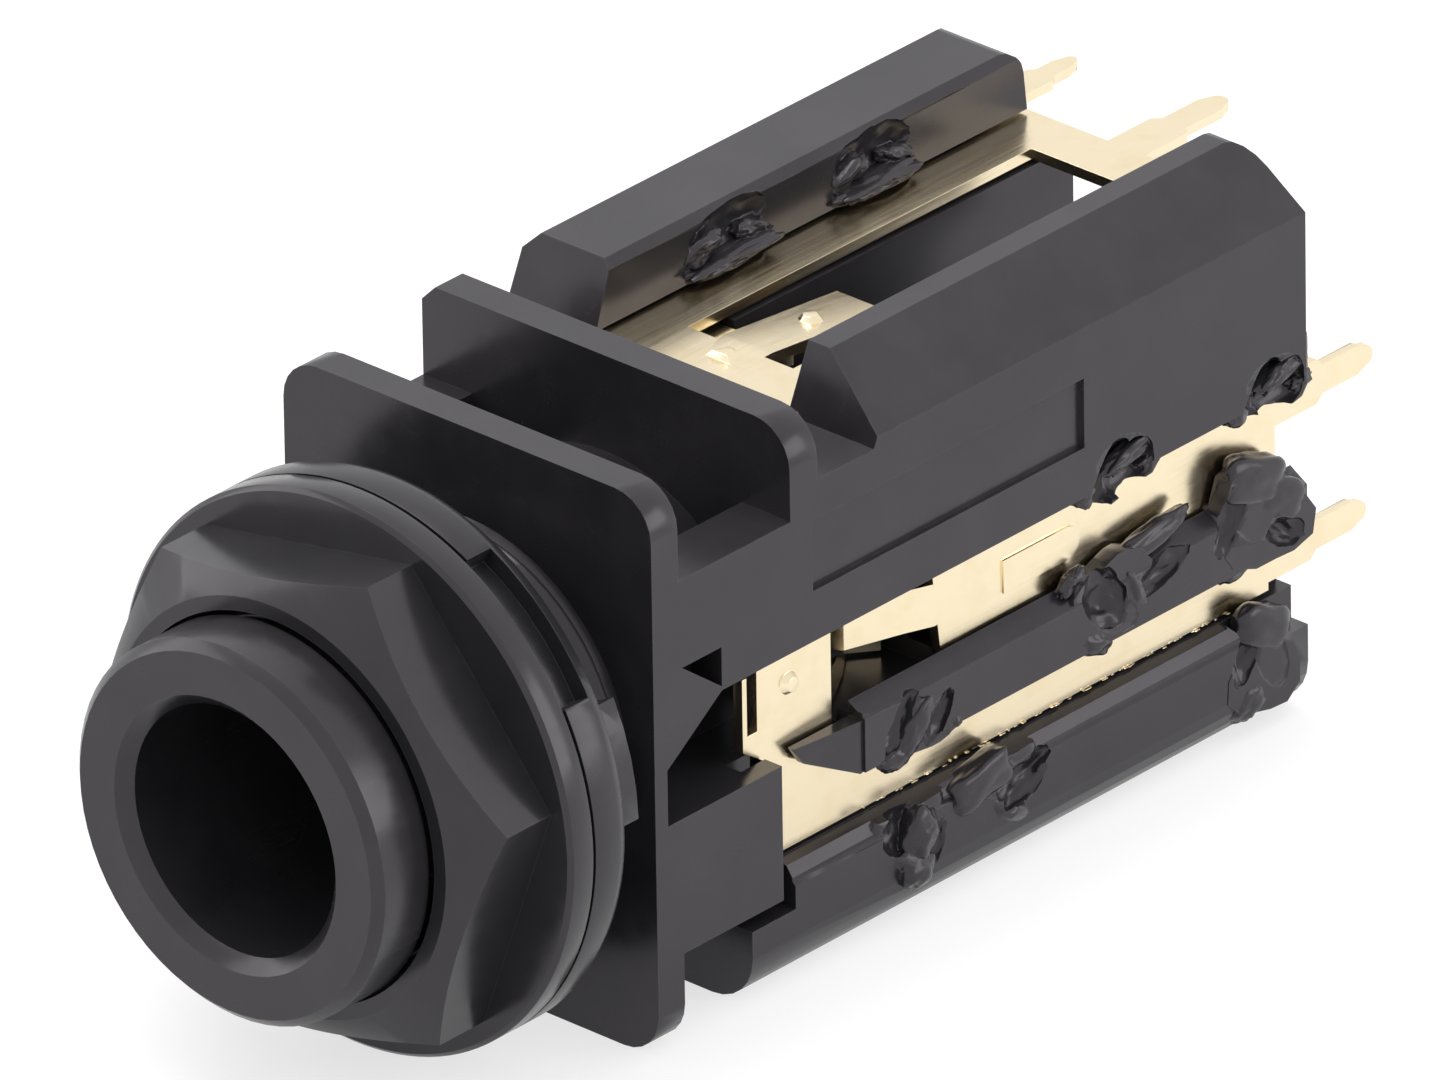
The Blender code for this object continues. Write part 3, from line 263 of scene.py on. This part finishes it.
# A wide gouge and a long one behind it, with a strip thrown up over the sheet
REAR_RIB_STAKE = (
    patch((-PATCH_MIDDLE, 0.0, 0.0), (PATCH_DEEP, 1.25, 0.70)),
    Lump(GOUGE, (0.05, -0.25, 0.55), (0.52, 0.70, 1.00), 32),
    Lump(GOUGE, (0.05, 1.85, 0.45), (0.40, 1.10, 0.42), 16),
    Lump(RAISE, (-0.22, -0.55, -0.58), (0.34, 0.75, 0.34), -28),
    Lump(RAISE, (-0.30, 1.60, 1.32), (0.28, 1.55, 0.36), 10),
    Lump(RAISE, (-0.20, 0.95, 0.35), (0.26, 0.30, 0.85), 28),
    Lump(RAISE, (-0.34, -1.15, 1.20), (0.22, 0.50, 0.30), 24, rough=0.4),
)

# A hollow in the rail, with a blob that has run down from it
FRONT_RAIL_STAKE = (
    patch((-PATCH_MIDDLE, 0.0, -0.25), (PATCH_DEEP, 1.30, 0.66)),
    Lump(GOUGE, (0.0, -0.35, -0.05), (0.46, 0.60, 0.78), -20),
    Lump(RAISE, (-0.10, 0.30, -0.50), (0.42, 0.55, 0.80), -16),
    Lump(RAISE, (-0.05, 0.15, -1.40), (0.40, 0.62, 0.50), 8),
    Lump(GOUGE, (0.16, 0.95, -0.95), (0.34, 0.30, 0.70), -18),
)

# A block pressed up over the rail's edge, with the hollow that it came from behind it
REAR_RAIL_STAKE = (
    patch((-PATCH_MIDDLE, 0.0, -0.25), (PATCH_DEEP, 1.30, 0.66)),
    Lump(RAISE, (-0.16, -0.85, 0.02), (0.34, 1.05, 0.52), 12, 5.0, 0.12),
    Lump(GOUGE, (0.04, 0.70, -0.55), (0.44, 1.05, 0.52), 22, rough=0.35),
)

# The rear ends of rib and rail, in heights of the body itself: blocks folded over the sheets
END_STAKE = (
    patch((-END_PATCH_DEEP, -0.25, -1.65), (END_PATCH_DEEP, 1.30, 0.75)),
    patch((-END_PATCH_DEEP, 0.25, -5.60), (END_PATCH_DEEP, 0.75, 1.05)),
    Lump(GOUGE, (0.08, -1.25, -1.20), (0.42, 0.42, 1.15), -28),
    Lump(GOUGE, (0.10, 0.75, -2.35), (0.45, 0.75, 0.42), -24),
    Lump(RAISE, (-0.26, -0.25, -0.55), (0.34, 1.05, 0.62), -22, BLOCKY, 0.12),
    Lump(RAISE, (-0.24, 0.75, -1.40), (0.30, 0.85, 0.55), -30, BLOCKY, 0.12),
    Lump(RAISE, (-0.28, -0.95, -2.75), (0.28, 0.55, 0.36), 12),
    Lump(GOUGE, (0.08, -0.70, -5.20), (0.42, 0.40, 0.95), -30),
    Lump(RAISE, (-0.24, 0.05, -4.75), (0.32, 0.95, 0.55), -24, BLOCKY, 0.12),
    Lump(RAISE, (-0.24, -0.55, -6.55), (0.34, 0.75, 0.50), 18),
)

# A torn hollow in the left wall over the top sheet, its plastic pressed down on the sheet
LEFT_STAKE = (
    Lump(GOUGE, (0.10, 0.15, 0.95), (0.52, 1.45, 0.66), 6, SQUARED, 0.12),
    Lump(RAISE, (0.04, 0.10, 0.24), (0.42, 1.50, 0.19), 2, SQUARED, 0.35),
    Lump(RAISE, (-0.24, -0.75, 0.66), (0.34, 0.70, 0.30), 20, SQUARED, 0.35),
    Lump(RAISE, (-0.22, 1.05, 0.52), (0.30, 0.55, 0.26), -14, SQUARED, 0.35),
)

# The heat stakes of either side and of the left wall, in millimetres
Stake = namedtuple("Stake", "lumps y z")
SIDE_STAKES = (
    Stake(WALL_STAKE, 17.1, WALL_LOW),
    Stake(WALL_STAKE, 22.7, WALL_LOW),
    Stake(FRONT_RIB_STAKE, 9.6, RIB_MIDDLE),
    Stake(REAR_RIB_STAKE, 16.6, RIB_MIDDLE),
    Stake(FRONT_RAIL_STAKE, 9.2, RAIL_LINE),
    Stake(REAR_RAIL_STAKE, 12.6, RAIL_LINE),
    Stake(END_STAKE, 22.3, 0.0),
)
LEFT_STAKES = (Stake(LEFT_STAKE, 12.8, ROOF), Stake(LEFT_STAKE, 18.1, ROOF))


class Finish:
    """A material with its node tree, built by short calls."""

    def __init__(self, name):
        self.made = bpy.data.materials.new(name)
        self.made.use_nodes = True
        self.tree = self.made.node_tree
        self.shader = self.tree.nodes["Principled BSDF"]
        coords = self.tree.nodes.new("ShaderNodeTexCoord")
        self.place = coords.outputs["Object"]

    def node(self, kind, **values):
        made = self.tree.nodes.new(kind)
        for name, value in values.items():
            setattr(made, name, value)
        return made

    def link(self, source, target):
        self.tree.links.new(source, target)

    def stretched(self, scale):
        mapping = self.node("ShaderNodeMapping")
        mapping.inputs["Scale"].default_value = scale
        self.link(self.place, mapping.inputs["Vector"])
        return mapping.outputs["Vector"]

    def noise(self, place, scale, detail):
        made = self.node("ShaderNodeTexNoise")
        made.inputs["Scale"].default_value = scale
        made.inputs["Detail"].default_value = detail
        made.inputs["Roughness"].default_value = NOISE_ROUGHNESS
        self.link(place, made.inputs["Vector"])
        return made.outputs["Fac"]

    def span(self, value, source, target=UNIT):
        """Carries a value from one range to another."""
        made = self.node("ShaderNodeMapRange")
        names = ("From Min", "From Max", "To Min", "To Max")
        for name, number in zip(names, (*source, *target)):
            made.inputs[name].default_value = number
        self.link(value, made.inputs["Value"])
        return made.outputs["Result"]

    def mix(self, amount, first, second):
        made = self.node("ShaderNodeMix", data_type="RGBA")
        self.link(amount, made.inputs[MIX_FACTOR])
        for index, colour in zip(MIX_COLOURS, (first, second)):
            if isinstance(colour, tuple):
                made.inputs[index].default_value = colour
            else:
                self.link(colour, made.inputs[index])
        return made.outputs[MIX_COLOUR_RESULT]

    def bump(self, height, distance, strength, before=None):
        made = self.node("ShaderNodeBump")
        made.inputs["Strength"].default_value = strength
        made.inputs["Distance"].default_value = distance
        self.link(height, made.inputs["Height"])
        if before is not None:
            self.link(before, made.inputs["Normal"])
        return made.outputs["Normal"]

    def edges(self, radius):
        """How close a point is to a sharp edge: 0 on a flat, towards 1 on the edge."""
        bevel = self.node("ShaderNodeBevel", samples=EDGE_SAMPLES)
        bevel.inputs["Radius"].default_value = radius
        geometry = self.node("ShaderNodeNewGeometry")
        dot = self.node("ShaderNodeVectorMath", operation="DOT_PRODUCT")
        self.link(bevel.outputs["Normal"], dot.inputs[0])
        self.link(geometry.outputs["Normal"], dot.inputs[1])
        return self.span(dot.outputs["Value"], EDGE_ALIGNMENT)


def moulded_plastic(name, dark, light, roughness, grain):
    """Black moulded plastic: fine sparked grain, flow streaks along the body, paler worn edges."""
    f = Finish(name)
    streaks = f.noise(f.stretched(STREAK_STRETCH), *STREAKS)
    cloud = f.noise(f.place, *CLOUDS)
    fine = f.noise(f.place, *GRAIN)
    tone = f.mix(f.span(cloud, CLOUD_SPAN), dark, light)
    worn = f.node("ShaderNodeMath", operation="MULTIPLY")
    f.link(f.edges(WORN_EDGE), worn.inputs[0])
    f.link(f.span(f.noise(f.place, *NICKS), NICK_SPAN, NICK_AMOUNT), worn.inputs[1])
    amount = f.span(worn.outputs["Value"], UNIT, (0.0, WORN_AMOUNT))
    pale = tuple(min(1.0, WORN_PALER * c) for c in light[:3]) + (1.0,)
    f.link(f.mix(amount, tone, pale), f.shader.inputs["Base Color"])
    rough_span = tuple(roughness + change for change in STREAK_ROUGHER)
    f.link(f.span(streaks, STREAK_SPAN, rough_span), f.shader.inputs["Roughness"])
    f.shader.inputs["Specular Tint"].default_value = PLASTIC_SHEEN
    f.shader.inputs["IOR"].default_value = PLASTIC_IOR
    first = f.bump(cloud, *CLOUD_BUMP)
    second = f.bump(streaks, *STREAK_BUMP, first)
    f.link(f.bump(fine, grain, GRAIN_STRENGTH, second), f.shader.inputs["Normal"])
    return f.made


def gold_plate(name):
    """Pale gold flash over rolled strip: fine roll lines, soft waves and faint tarnish."""
    f = Finish(name)
    lines = f.noise(f.stretched(ROLL_STRETCH), *ROLL_LINES)
    waves = f.noise(f.place, *WAVES)
    stain = f.noise(f.place, *STAINS)
    tone = f.mix(f.span(stain, STAIN_SPAN, (0.0, STAIN_AMOUNT)), GOLD_BRIGHT, GOLD_STAINED)
    sheared = f.span(f.edges(SHEARED_EDGE), UNIT, (0.0, SHEARED_AMOUNT))
    f.link(f.mix(sheared, tone, GOLD_SHEARED), f.shader.inputs["Base Color"])
    f.shader.inputs["Metallic"].default_value = 1.0
    f.link(f.span(lines, ROLL_SPAN, GOLD_ROUGHNESS), f.shader.inputs["Roughness"])
    first = f.bump(waves, *WAVE_BUMP)
    f.link(f.bump(lines, *ROLL_BUMP, first), f.shader.inputs["Normal"])
    return f.made


def object_from(bm, name):
    mesh = bpy.data.meshes.new(name)
    bm.to_mesh(mesh)
    bm.free()
    return bpy.data.objects.new(name, mesh)


def apply_modifiers(made):
    bpy.context.view_layer.update()
    graph = bpy.context.evaluated_depsgraph_get()
    result = bpy.data.meshes.new_from_object(made.evaluated_get(graph))
    made.modifiers.clear()
    old = made.data
    made.data = result
    bpy.data.meshes.remove(old)


def settle_normals(made, angle):
    """Smooth shading in which the large flat faces stay flat."""
    made.data.shade_smooth()
    made.data.set_sharp_from_angle(angle=math.radians(angle))
    step = made.modifiers.new("settle", "WEIGHTED_NORMAL")
    step.mode = "FACE_AREA_WITH_ANGLE"
    step.weight = FLAT_FACE_WEIGHT
    step.keep_sharp = True
    apply_modifiers(made)


def softened(node, name, edge):
    """A copy of a frame node with merged faces and rounded edges."""
    bm = bmesh.new()
    bm.from_mesh(frame["nodes"][node].data)
    bmesh.ops.remove_doubles(bm, verts=bm.verts, dist=NODE_MERGE)
    bmesh.ops.dissolve_limit(
        bm, angle_limit=math.radians(FLAT_UNDER), verts=bm.verts, edges=bm.edges,
        delimit={"NORMAL"})
    made = object_from(bm, name)
    bpy.context.scene.collection.objects.link(made)
    bevel = made.modifiers.new("edge", "BEVEL")
    bevel.width = edge
    bevel.segments = EDGE_SEGMENTS
    bevel.limit_method = "ANGLE"
    bevel.angle_limit = math.radians(EDGE_OVER)
    apply_modifiers(made)
    settle_normals(made, SMOOTH_UNDER)
    return made


def dressed(made, look, body, slot, *nodes):
    """Gives a piece its material, and tells the frame its body and the nodes it replaces; the slot
    is not used.
    """
    made.data.materials.clear()
    made.data.materials.append(look)
    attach(made, body)
    if nodes:
        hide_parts(*nodes)


class Melt:
    """Plastic that the staking tool has pushed about: what it fills, digs out and throws up."""

    def __init__(self):
        self.groups = {}
        for job in (FILL, GOUGE, RAISE):
            self.groups[job] = bpy.data.collections.new("melt_" + job)
            bpy.context.scene.collection.children.link(self.groups[job])
        self.count = 0

    def add(self, job, tool):
        self.groups[job].objects.link(tool)

    def lump(self, lump, side, middle):
        self.count += 1
        shift = Vector([self.count * step for step in MELT_NOISE_STEP])
        turn = Matrix.Rotation(math.radians(lump.tilt), 3, "X")
        out, along, up = lump.place
        place = Vector((middle[0] + side * out, middle[1] + along, middle[2] + up))
        bm = bmesh.new()
        bmesh.ops.create_icosphere(bm, subdivisions=MELT_DETAIL, radius=1.0)
        for vert in bm.verts:
            way = vert.co.normalized()
            reach = sum(abs(c) ** lump.form for c in way) ** (-1 / lump.form)
            wave = (noise.noise(MELT_COARSE_WAVE * way + shift)
                    + MELT_FINE_SHARE * noise.noise(MELT_FINE_WAVE * way + shift))
            size = reach * (1 + lump.rough * wave)
            local = Vector([c * radius for c, radius in zip(way, lump.radii)]) * size
            vert.co = (turn @ local + place) * MM
        self.add(lump.job, object_from(bm, "melt"))

    def stake(self, stake, side, x):
        for lump in stake.lumps:
            self.lump(lump, side, (x, stake.y, stake.z))

    def shape(self, made):
        for job, operation in ((FILL, "UNION"), (GOUGE, "DIFFERENCE"), (RAISE, "UNION")):
            group = self.groups[job]
            step = made.modifiers.new("melt", "BOOLEAN")
            step.operation = operation
            step.operand_type = "COLLECTION"
            step.collection = group
            step.solver = "EXACT"
            apply_modifiers(made)
            for tool in list(group.objects):
                bpy.data.objects.remove(tool)
            bpy.data.collections.remove(group)


def rail_top(side):
    """The wedge that takes the steep upper edge off the rail."""
    bm = bmesh.new()
    ends = [
        [bm.verts.new((side * x * MM, y * MM, z * MM)) for x, z in RAIL_SLOPE]
        for y in RAIL_SLOPE_ENDS]
    for ring in ends:
        bm.faces.new(ring)
    for i in range(len(RAIL_SLOPE)):
        j = (i + 1) % len(RAIL_SLOPE)
        bm.faces.new((ends[0][i], ends[0][j], ends[1][j], ends[1][i]))
    bmesh.ops.recalc_face_normals(bm, faces=bm.faces)
    return object_from(bm, "rail_top")


def thread_room():
    """The ring that is taken off the nose, down to the core of its thread."""
    outer = THREAD_CORE_R + 2 * THREAD_RIDGE
    profile = [
        (THREAD_CORE_R, THREAD_FRONT), (outer, THREAD_FRONT - 2 * THREAD_RIDGE),
        (outer, THREAD_REAR + 2 * THREAD_RELIEF), (THREAD_CORE_R, THREAD_REAR)]
    bm = bmesh.new()
    verts = [bm.verts.new((radius, y, 0.0)) for radius, y in profile]
    edges = [bm.edges.new((verts[i], verts[(i + 1) % len(verts)])) for i in range(len(verts))]
    bmesh.ops.spin(
        bm, geom=verts + edges, cent=(0, 0, 0), axis=(0, 1, 0), angle=2 * math.pi,
        steps=ROOM_STEPS, use_merge=True)
    bmesh.ops.remove_doubles(bm, verts=bm.verts, dist=ROOM_MERGE)
    bmesh.ops.recalc_face_normals(bm, faces=bm.faces)
    return object_from(bm, "thread_room")


def staked(housing):
    """Turns the plain stakes of the solids into torn and melted ones, and cuts the thread's room."""
    melt = Melt()
    for side in SIDES:
        for stake in SIDE_STAKES:
            melt.stake(stake, side, side * SIDE_X)
        melt.add(GOUGE, rail_top(side))
    for stake in LEFT_STAKES:
        melt.stake(stake, 1, LEFT_WALL_X)
    melt.add(GOUGE, thread_room())
    melt.shape(housing)
    settle_normals(housing, MELT_SMOOTH_UNDER)


class Grower:
    """A Geometry Nodes tree, built by short calls, and the piece that it grows."""

    def __init__(self, name):
        self.name = name
        self.tree = bpy.data.node_groups.new(name + "_tree", "GeometryNodeTree")
        self.tree.interface.new_socket(
            "Geometry", in_out="OUTPUT", socket_type="NodeSocketGeometry")
        self.values = {}
        self.source = self.tree.nodes.new("NodeGroupInput")
        self.sink = self.tree.nodes.new("NodeGroupOutput")

    def value(self, name, kind, number):
        """A named input of the tree, with what the piece sets it to."""
        socket = self.tree.interface.new_socket(
            name, in_out="INPUT", socket_type="NodeSocket" + kind)
        self.values[socket.identifier] = number
        return self.source.outputs[name]

    def node(self, kind, links=None, **values):
        made = self.tree.nodes.new(kind)
        for name, value in values.items():
            setattr(made, name, value)
        for name, source in (links or {}).items():
            target = made.inputs[name]
            if isinstance(source, bpy.types.NodeSocket):
                self.tree.links.new(source, target)
            else:
                target.default_value = source
        return made

    def random_between(self, low, high, seed):
        """A random vector for each point, between two corners."""
        made = self.node("FunctionNodeRandomValue", {"Seed": seed}, data_type="FLOAT_VECTOR")
        for socket, corner in zip(made.inputs, (low, high)):
            socket.default_value = corner
        return made.outputs[0]

    def grow(self, geometry, look):
        solid = self.node("GeometryNodeRealizeInstances", {"Geometry": geometry})
        looked = self.node(
            "GeometryNodeSetMaterial", {"Geometry": solid.outputs["Geometry"], "Material": look})
        self.tree.links.new(looked.outputs["Geometry"], self.sink.inputs["Geometry"])
        made = bpy.data.objects.new(self.name, bpy.data.meshes.new(self.name))
        bpy.context.scene.collection.objects.link(made)
        step = made.modifiers.new("grow", "NODES")
        step.node_group = self.tree
        for identifier, number in self.values.items():
            step[identifier] = number
        apply_modifiers(made)
        return made


def nose_thread(look):
    """A right-hand screw ridge wound round the core of the nose."""
    g = Grower("nose_thread")
    pitch = g.value("Pitch", "Float", THREAD_PITCH)
    length = g.value("Length", "Float", THREAD_REAR - THREAD_FRONT - THREAD_PITCH)
    core = g.value("Core radius", "Float", THREAD_CORE_R)
    ridge = g.value("Ridge", "Float", THREAD_RIDGE)
    turns = g.node("ShaderNodeMath", {0: length, 1: pitch}, operation="DIVIDE")
    spiral = g.node("GeometryNodeCurveSpiral", {
        "Resolution": THREAD_STEPS, "Rotations": turns.outputs["Value"],
        "Start Radius": core, "End Radius": core, "Height": length, "Reverse": False})
    upright = g.node(
        "GeometryNodeSetCurveNormal", {"Curve": spiral.outputs["Curve"]}, mode="Z_UP")
    diamond = g.node(
        "GeometryNodeCurvePrimitiveCircle",
        {"Resolution": THREAD_RIDGE_SIDES, "Radius": ridge}, mode="RADIUS")
    crest = g.node(
        "GeometryNodeFilletCurve",
        {"Curve": diamond.outputs["Curve"], "Radius": THREAD_CREST_R}, mode="POLY")
    sweep = g.node("GeometryNodeCurveToMesh", {
        "Curve": upright.outputs["Curve"], "Profile Curve": crest.outputs["Curve"],
        "Fill Caps": True})
    laid = g.node("GeometryNodeTransform", {
        "Geometry": sweep.outputs["Mesh"],
        "Rotation": (math.radians(-90), 0.0, 0.0),
        "Translation": (0.0, THREAD_FRONT + THREAD_PITCH / 2, 0.0)})
    return g.grow(laid.outputs["Geometry"], look)


def sheet_burrs(side, look):
    """Bright torn specks along the sheared edge of a side sheet."""
    g = Grower("sheet_burrs_right" if side > 0 else "sheet_burrs_left")
    count = g.value("Count", "Int", BURR_COUNT)
    size = g.value("Size", "Float", BURR_SIZE)
    seed = g.value("Seed", "Int", BURR_SEED + side)
    line = g.node("GeometryNodeMeshLine", {
        "Count": count, "Start Location": (side * BURR_X, BURR_FROM, BURR_Z),
        "Offset": (side * BURR_X, BURR_TO, BURR_Z)}, mode="END_POINTS")
    jitter = g.random_between(*(
        [BURR_SIZE * share for share in corner] for corner in BURR_SPREAD), seed)
    spread = g.node("GeometryNodeSetPosition", {
        "Geometry": line.outputs["Mesh"], "Offset": jitter})
    grain = g.node(
        "GeometryNodeMeshIcoSphere", {"Radius": size, "Subdivisions": BURR_DETAIL})
    put = g.node("GeometryNodeInstanceOnPoints", {
        "Points": spread.outputs["Geometry"], "Instance": grain.outputs["Mesh"],
        "Scale": g.random_between(*BURR_STRETCH, seed)})
    return g.grow(put.outputs["Instances"], look)


def camera_vectors():
    """The photograph's right, up and back directions."""
    azimuth, elevation, roll = (
        math.radians(a) for a in (CAMERA_AZIMUTH, CAMERA_ELEVATION, CAMERA_ROLL))
    back = Vector((
        math.sin(azimuth) * math.cos(elevation),
        -math.cos(azimuth) * math.cos(elevation),
        math.sin(elevation)))
    level = Vector((math.cos(azimuth), math.sin(azimuth), 0.0))
    above = back.cross(level)
    right = math.cos(roll) * level - math.sin(roll) * above
    up = math.sin(roll) * level + math.cos(roll) * above
    return right, up, back


def add_camera():
    right, up, back = camera_vectors()
    across = (PHOTO_WIDTH / 2 - ORIGIN_PIXEL[0]) / PIXELS_PER_METRE
    above = (ORIGIN_PIXEL[1] - PHOTO_HEIGHT / 2) / PIXELS_PER_METRE
    place = back * CAMERA_DISTANCE
    target = right * across + up * above
    z_axis = (place - target).normalized()
    x_axis = up.cross(z_axis).normalized()
    y_axis = z_axis.cross(x_axis)
    data = bpy.data.cameras.new("photo_camera")
    data.sensor_width = SENSOR
    data.lens = PIXELS_PER_METRE * CAMERA_DISTANCE / PHOTO_WIDTH * SENSOR
    data.clip_start, data.clip_end = CAMERA_CLIP
    camera = bpy.data.objects.new("photo_camera", data)
    bpy.context.scene.collection.objects.link(camera)
    turn = Matrix((x_axis, y_axis, z_axis)).transposed().to_4x4()
    camera.matrix_world = Matrix.Translation(place) @ turn
    bpy.context.scene.camera = camera


def add_lights():
    for box in SOFTBOXES:
        data = bpy.data.lights.new(box.name, "AREA")
        data.shape = "SQUARE"
        data.size = box.size
        data.energy = box.power
        light = bpy.data.objects.new(box.name, data)
        bpy.context.scene.collection.objects.link(light)
        direction = Vector(box.place) - Vector(BODY_MIDDLE)
        turn = direction.to_track_quat("Z", "Y").to_matrix().to_4x4()
        light.matrix_world = Matrix.Translation(box.place) @ turn


def add_world():
    """Soft light, strongest from above and the right rear, with a white ground for the camera."""
    world = bpy.data.worlds.new("studio")
    bpy.context.scene.world = world
    world.use_nodes = True
    tree = world.node_tree
    background = tree.nodes["Background"]
    background.inputs["Color"].default_value = WHITE
    path = tree.nodes.new("ShaderNodeLightPath")
    coords = tree.nodes.new("ShaderNodeTexCoord")
    toward = tree.nodes.new("ShaderNodeVectorMath")
    toward.operation = "DOT_PRODUCT"
    toward.inputs[1].default_value = Vector(KEY_DIRECTION).normalized()
    tree.links.new(coords.outputs["Generated"], toward.inputs[0])

    def sky(low, high):
        made = tree.nodes.new("ShaderNodeMapRange")
        made.inputs["From Min"].default_value = KEY_FADE
        made.inputs["To Min"].default_value = low
        made.inputs["To Max"].default_value = high
        tree.links.new(toward.outputs["Value"], made.inputs["Value"])
        return made.outputs["Result"]

    def choose(ray, otherwise, value):
        """One strength for the rays of a kind, and another for all the rest."""
        made = tree.nodes.new("ShaderNodeMix")
        tree.links.new(ray, made.inputs[MIX_FACTOR])
        for index, strength in zip(MIX_VALUES, (otherwise, value)):
            if isinstance(strength, float):
                made.inputs[index].default_value = strength
            else:
                tree.links.new(strength, made.inputs[index])
        return made.outputs[MIX_VALUE_RESULT]

    soft = choose(path.outputs["Is Glossy Ray"], sky(*DIFFUSE_SKY), sky(*GLOSSY_SKY))
    seen = choose(path.outputs["Is Camera Ray"], soft, 1.0)
    through = choose(path.outputs["Is Transmission Ray"], seen, 1.0)
    tree.links.new(through, background.inputs["Strength"])


def floor_look():
    """Pale grey, which the camera sees as white and a mirror sees as a lighter grey."""
    look = bpy.data.materials.new("pale_floor")
    look.use_nodes = True
    tree = look.node_tree
    shader = tree.nodes["Principled BSDF"]
    shader.inputs["Base Color"].default_value = (FLOOR_BASE, FLOOR_BASE, FLOOR_BASE, 1.0)
    shader.inputs["Roughness"].default_value = FLOOR_ROUGHNESS
    shader.inputs["Specular IOR Level"].default_value = FLOOR_GLOSS
    shader.inputs["Emission Color"].default_value = WHITE
    path = tree.nodes.new("ShaderNodeLightPath")
    mirrored = tree.nodes.new("ShaderNodeMath")
    mirrored.operation = "MULTIPLY"
    mirrored.inputs[1].default_value = FLOOR_MIRRORED
    tree.links.new(path.outputs["Is Glossy Ray"], mirrored.inputs[0])
    glow = tree.nodes.new("ShaderNodeMath")
    glow.operation = "MULTIPLY_ADD"
    glow.inputs[1].default_value = FLOOR_SEEN
    tree.links.new(path.outputs["Is Camera Ray"], glow.inputs[0])
    tree.links.new(mirrored.outputs["Value"], glow.inputs[2])
    tree.links.new(glow.outputs["Value"], shader.inputs["Emission Strength"])
    return look


def add_floor():
    low, high = CAD_BOX
    bm = bmesh.new()
    bmesh.ops.create_grid(bm, x_segments=1, y_segments=1, size=FLOOR_REACH)
    floor = object_from(bm, "studio_floor")
    floor.location = ((low[0] + high[0]) / 2, (low[1] + high[1]) / 2, low[2])
    bpy.context.scene.collection.objects.link(floor)
    floor.data.materials.append(floor_look())


def dress_part():
    housing = moulded_plastic("housing_black", *HOUSING_BLACK)
    nut = moulded_plastic("nut_black", *NUT_BLACK)
    washer = moulded_plastic("washer_black", *WASHER_BLACK)
    gold = gold_plate("contact_gold")
    moulding = softened("housing", "housing_moulding", MOULD_EDGE)
    staked(moulding)
    dressed(moulding, housing, "socket", "housing_plastic", "housing")
    dressed(nose_thread(housing), housing, "socket", "housing_plastic")
    nut_moulding = softened("hex_nut", "nut_moulding", NUT_EDGE)
    dressed(nut_moulding, nut, "nut", "nut_plastic", "hex_nut")
    washer_moulding = softened("washer_ring", "washer_moulding", NUT_EDGE)
    dressed(washer_moulding, washer, "ring", "washer_plastic", "washer_ring")
    for node in CONTACTS:
        stamping = softened(node, node + "_stamping", SHEET_EDGE)
        dressed(stamping, gold, "socket", "gold_plate", node)
    for side in SIDES:
        dressed(sheet_burrs(side, gold), gold, "socket", "gold_plate")


bpy.context.scene.view_settings.view_transform = "Standard"
add_world()
add_lights()
add_floor()
add_camera()
dress_part()
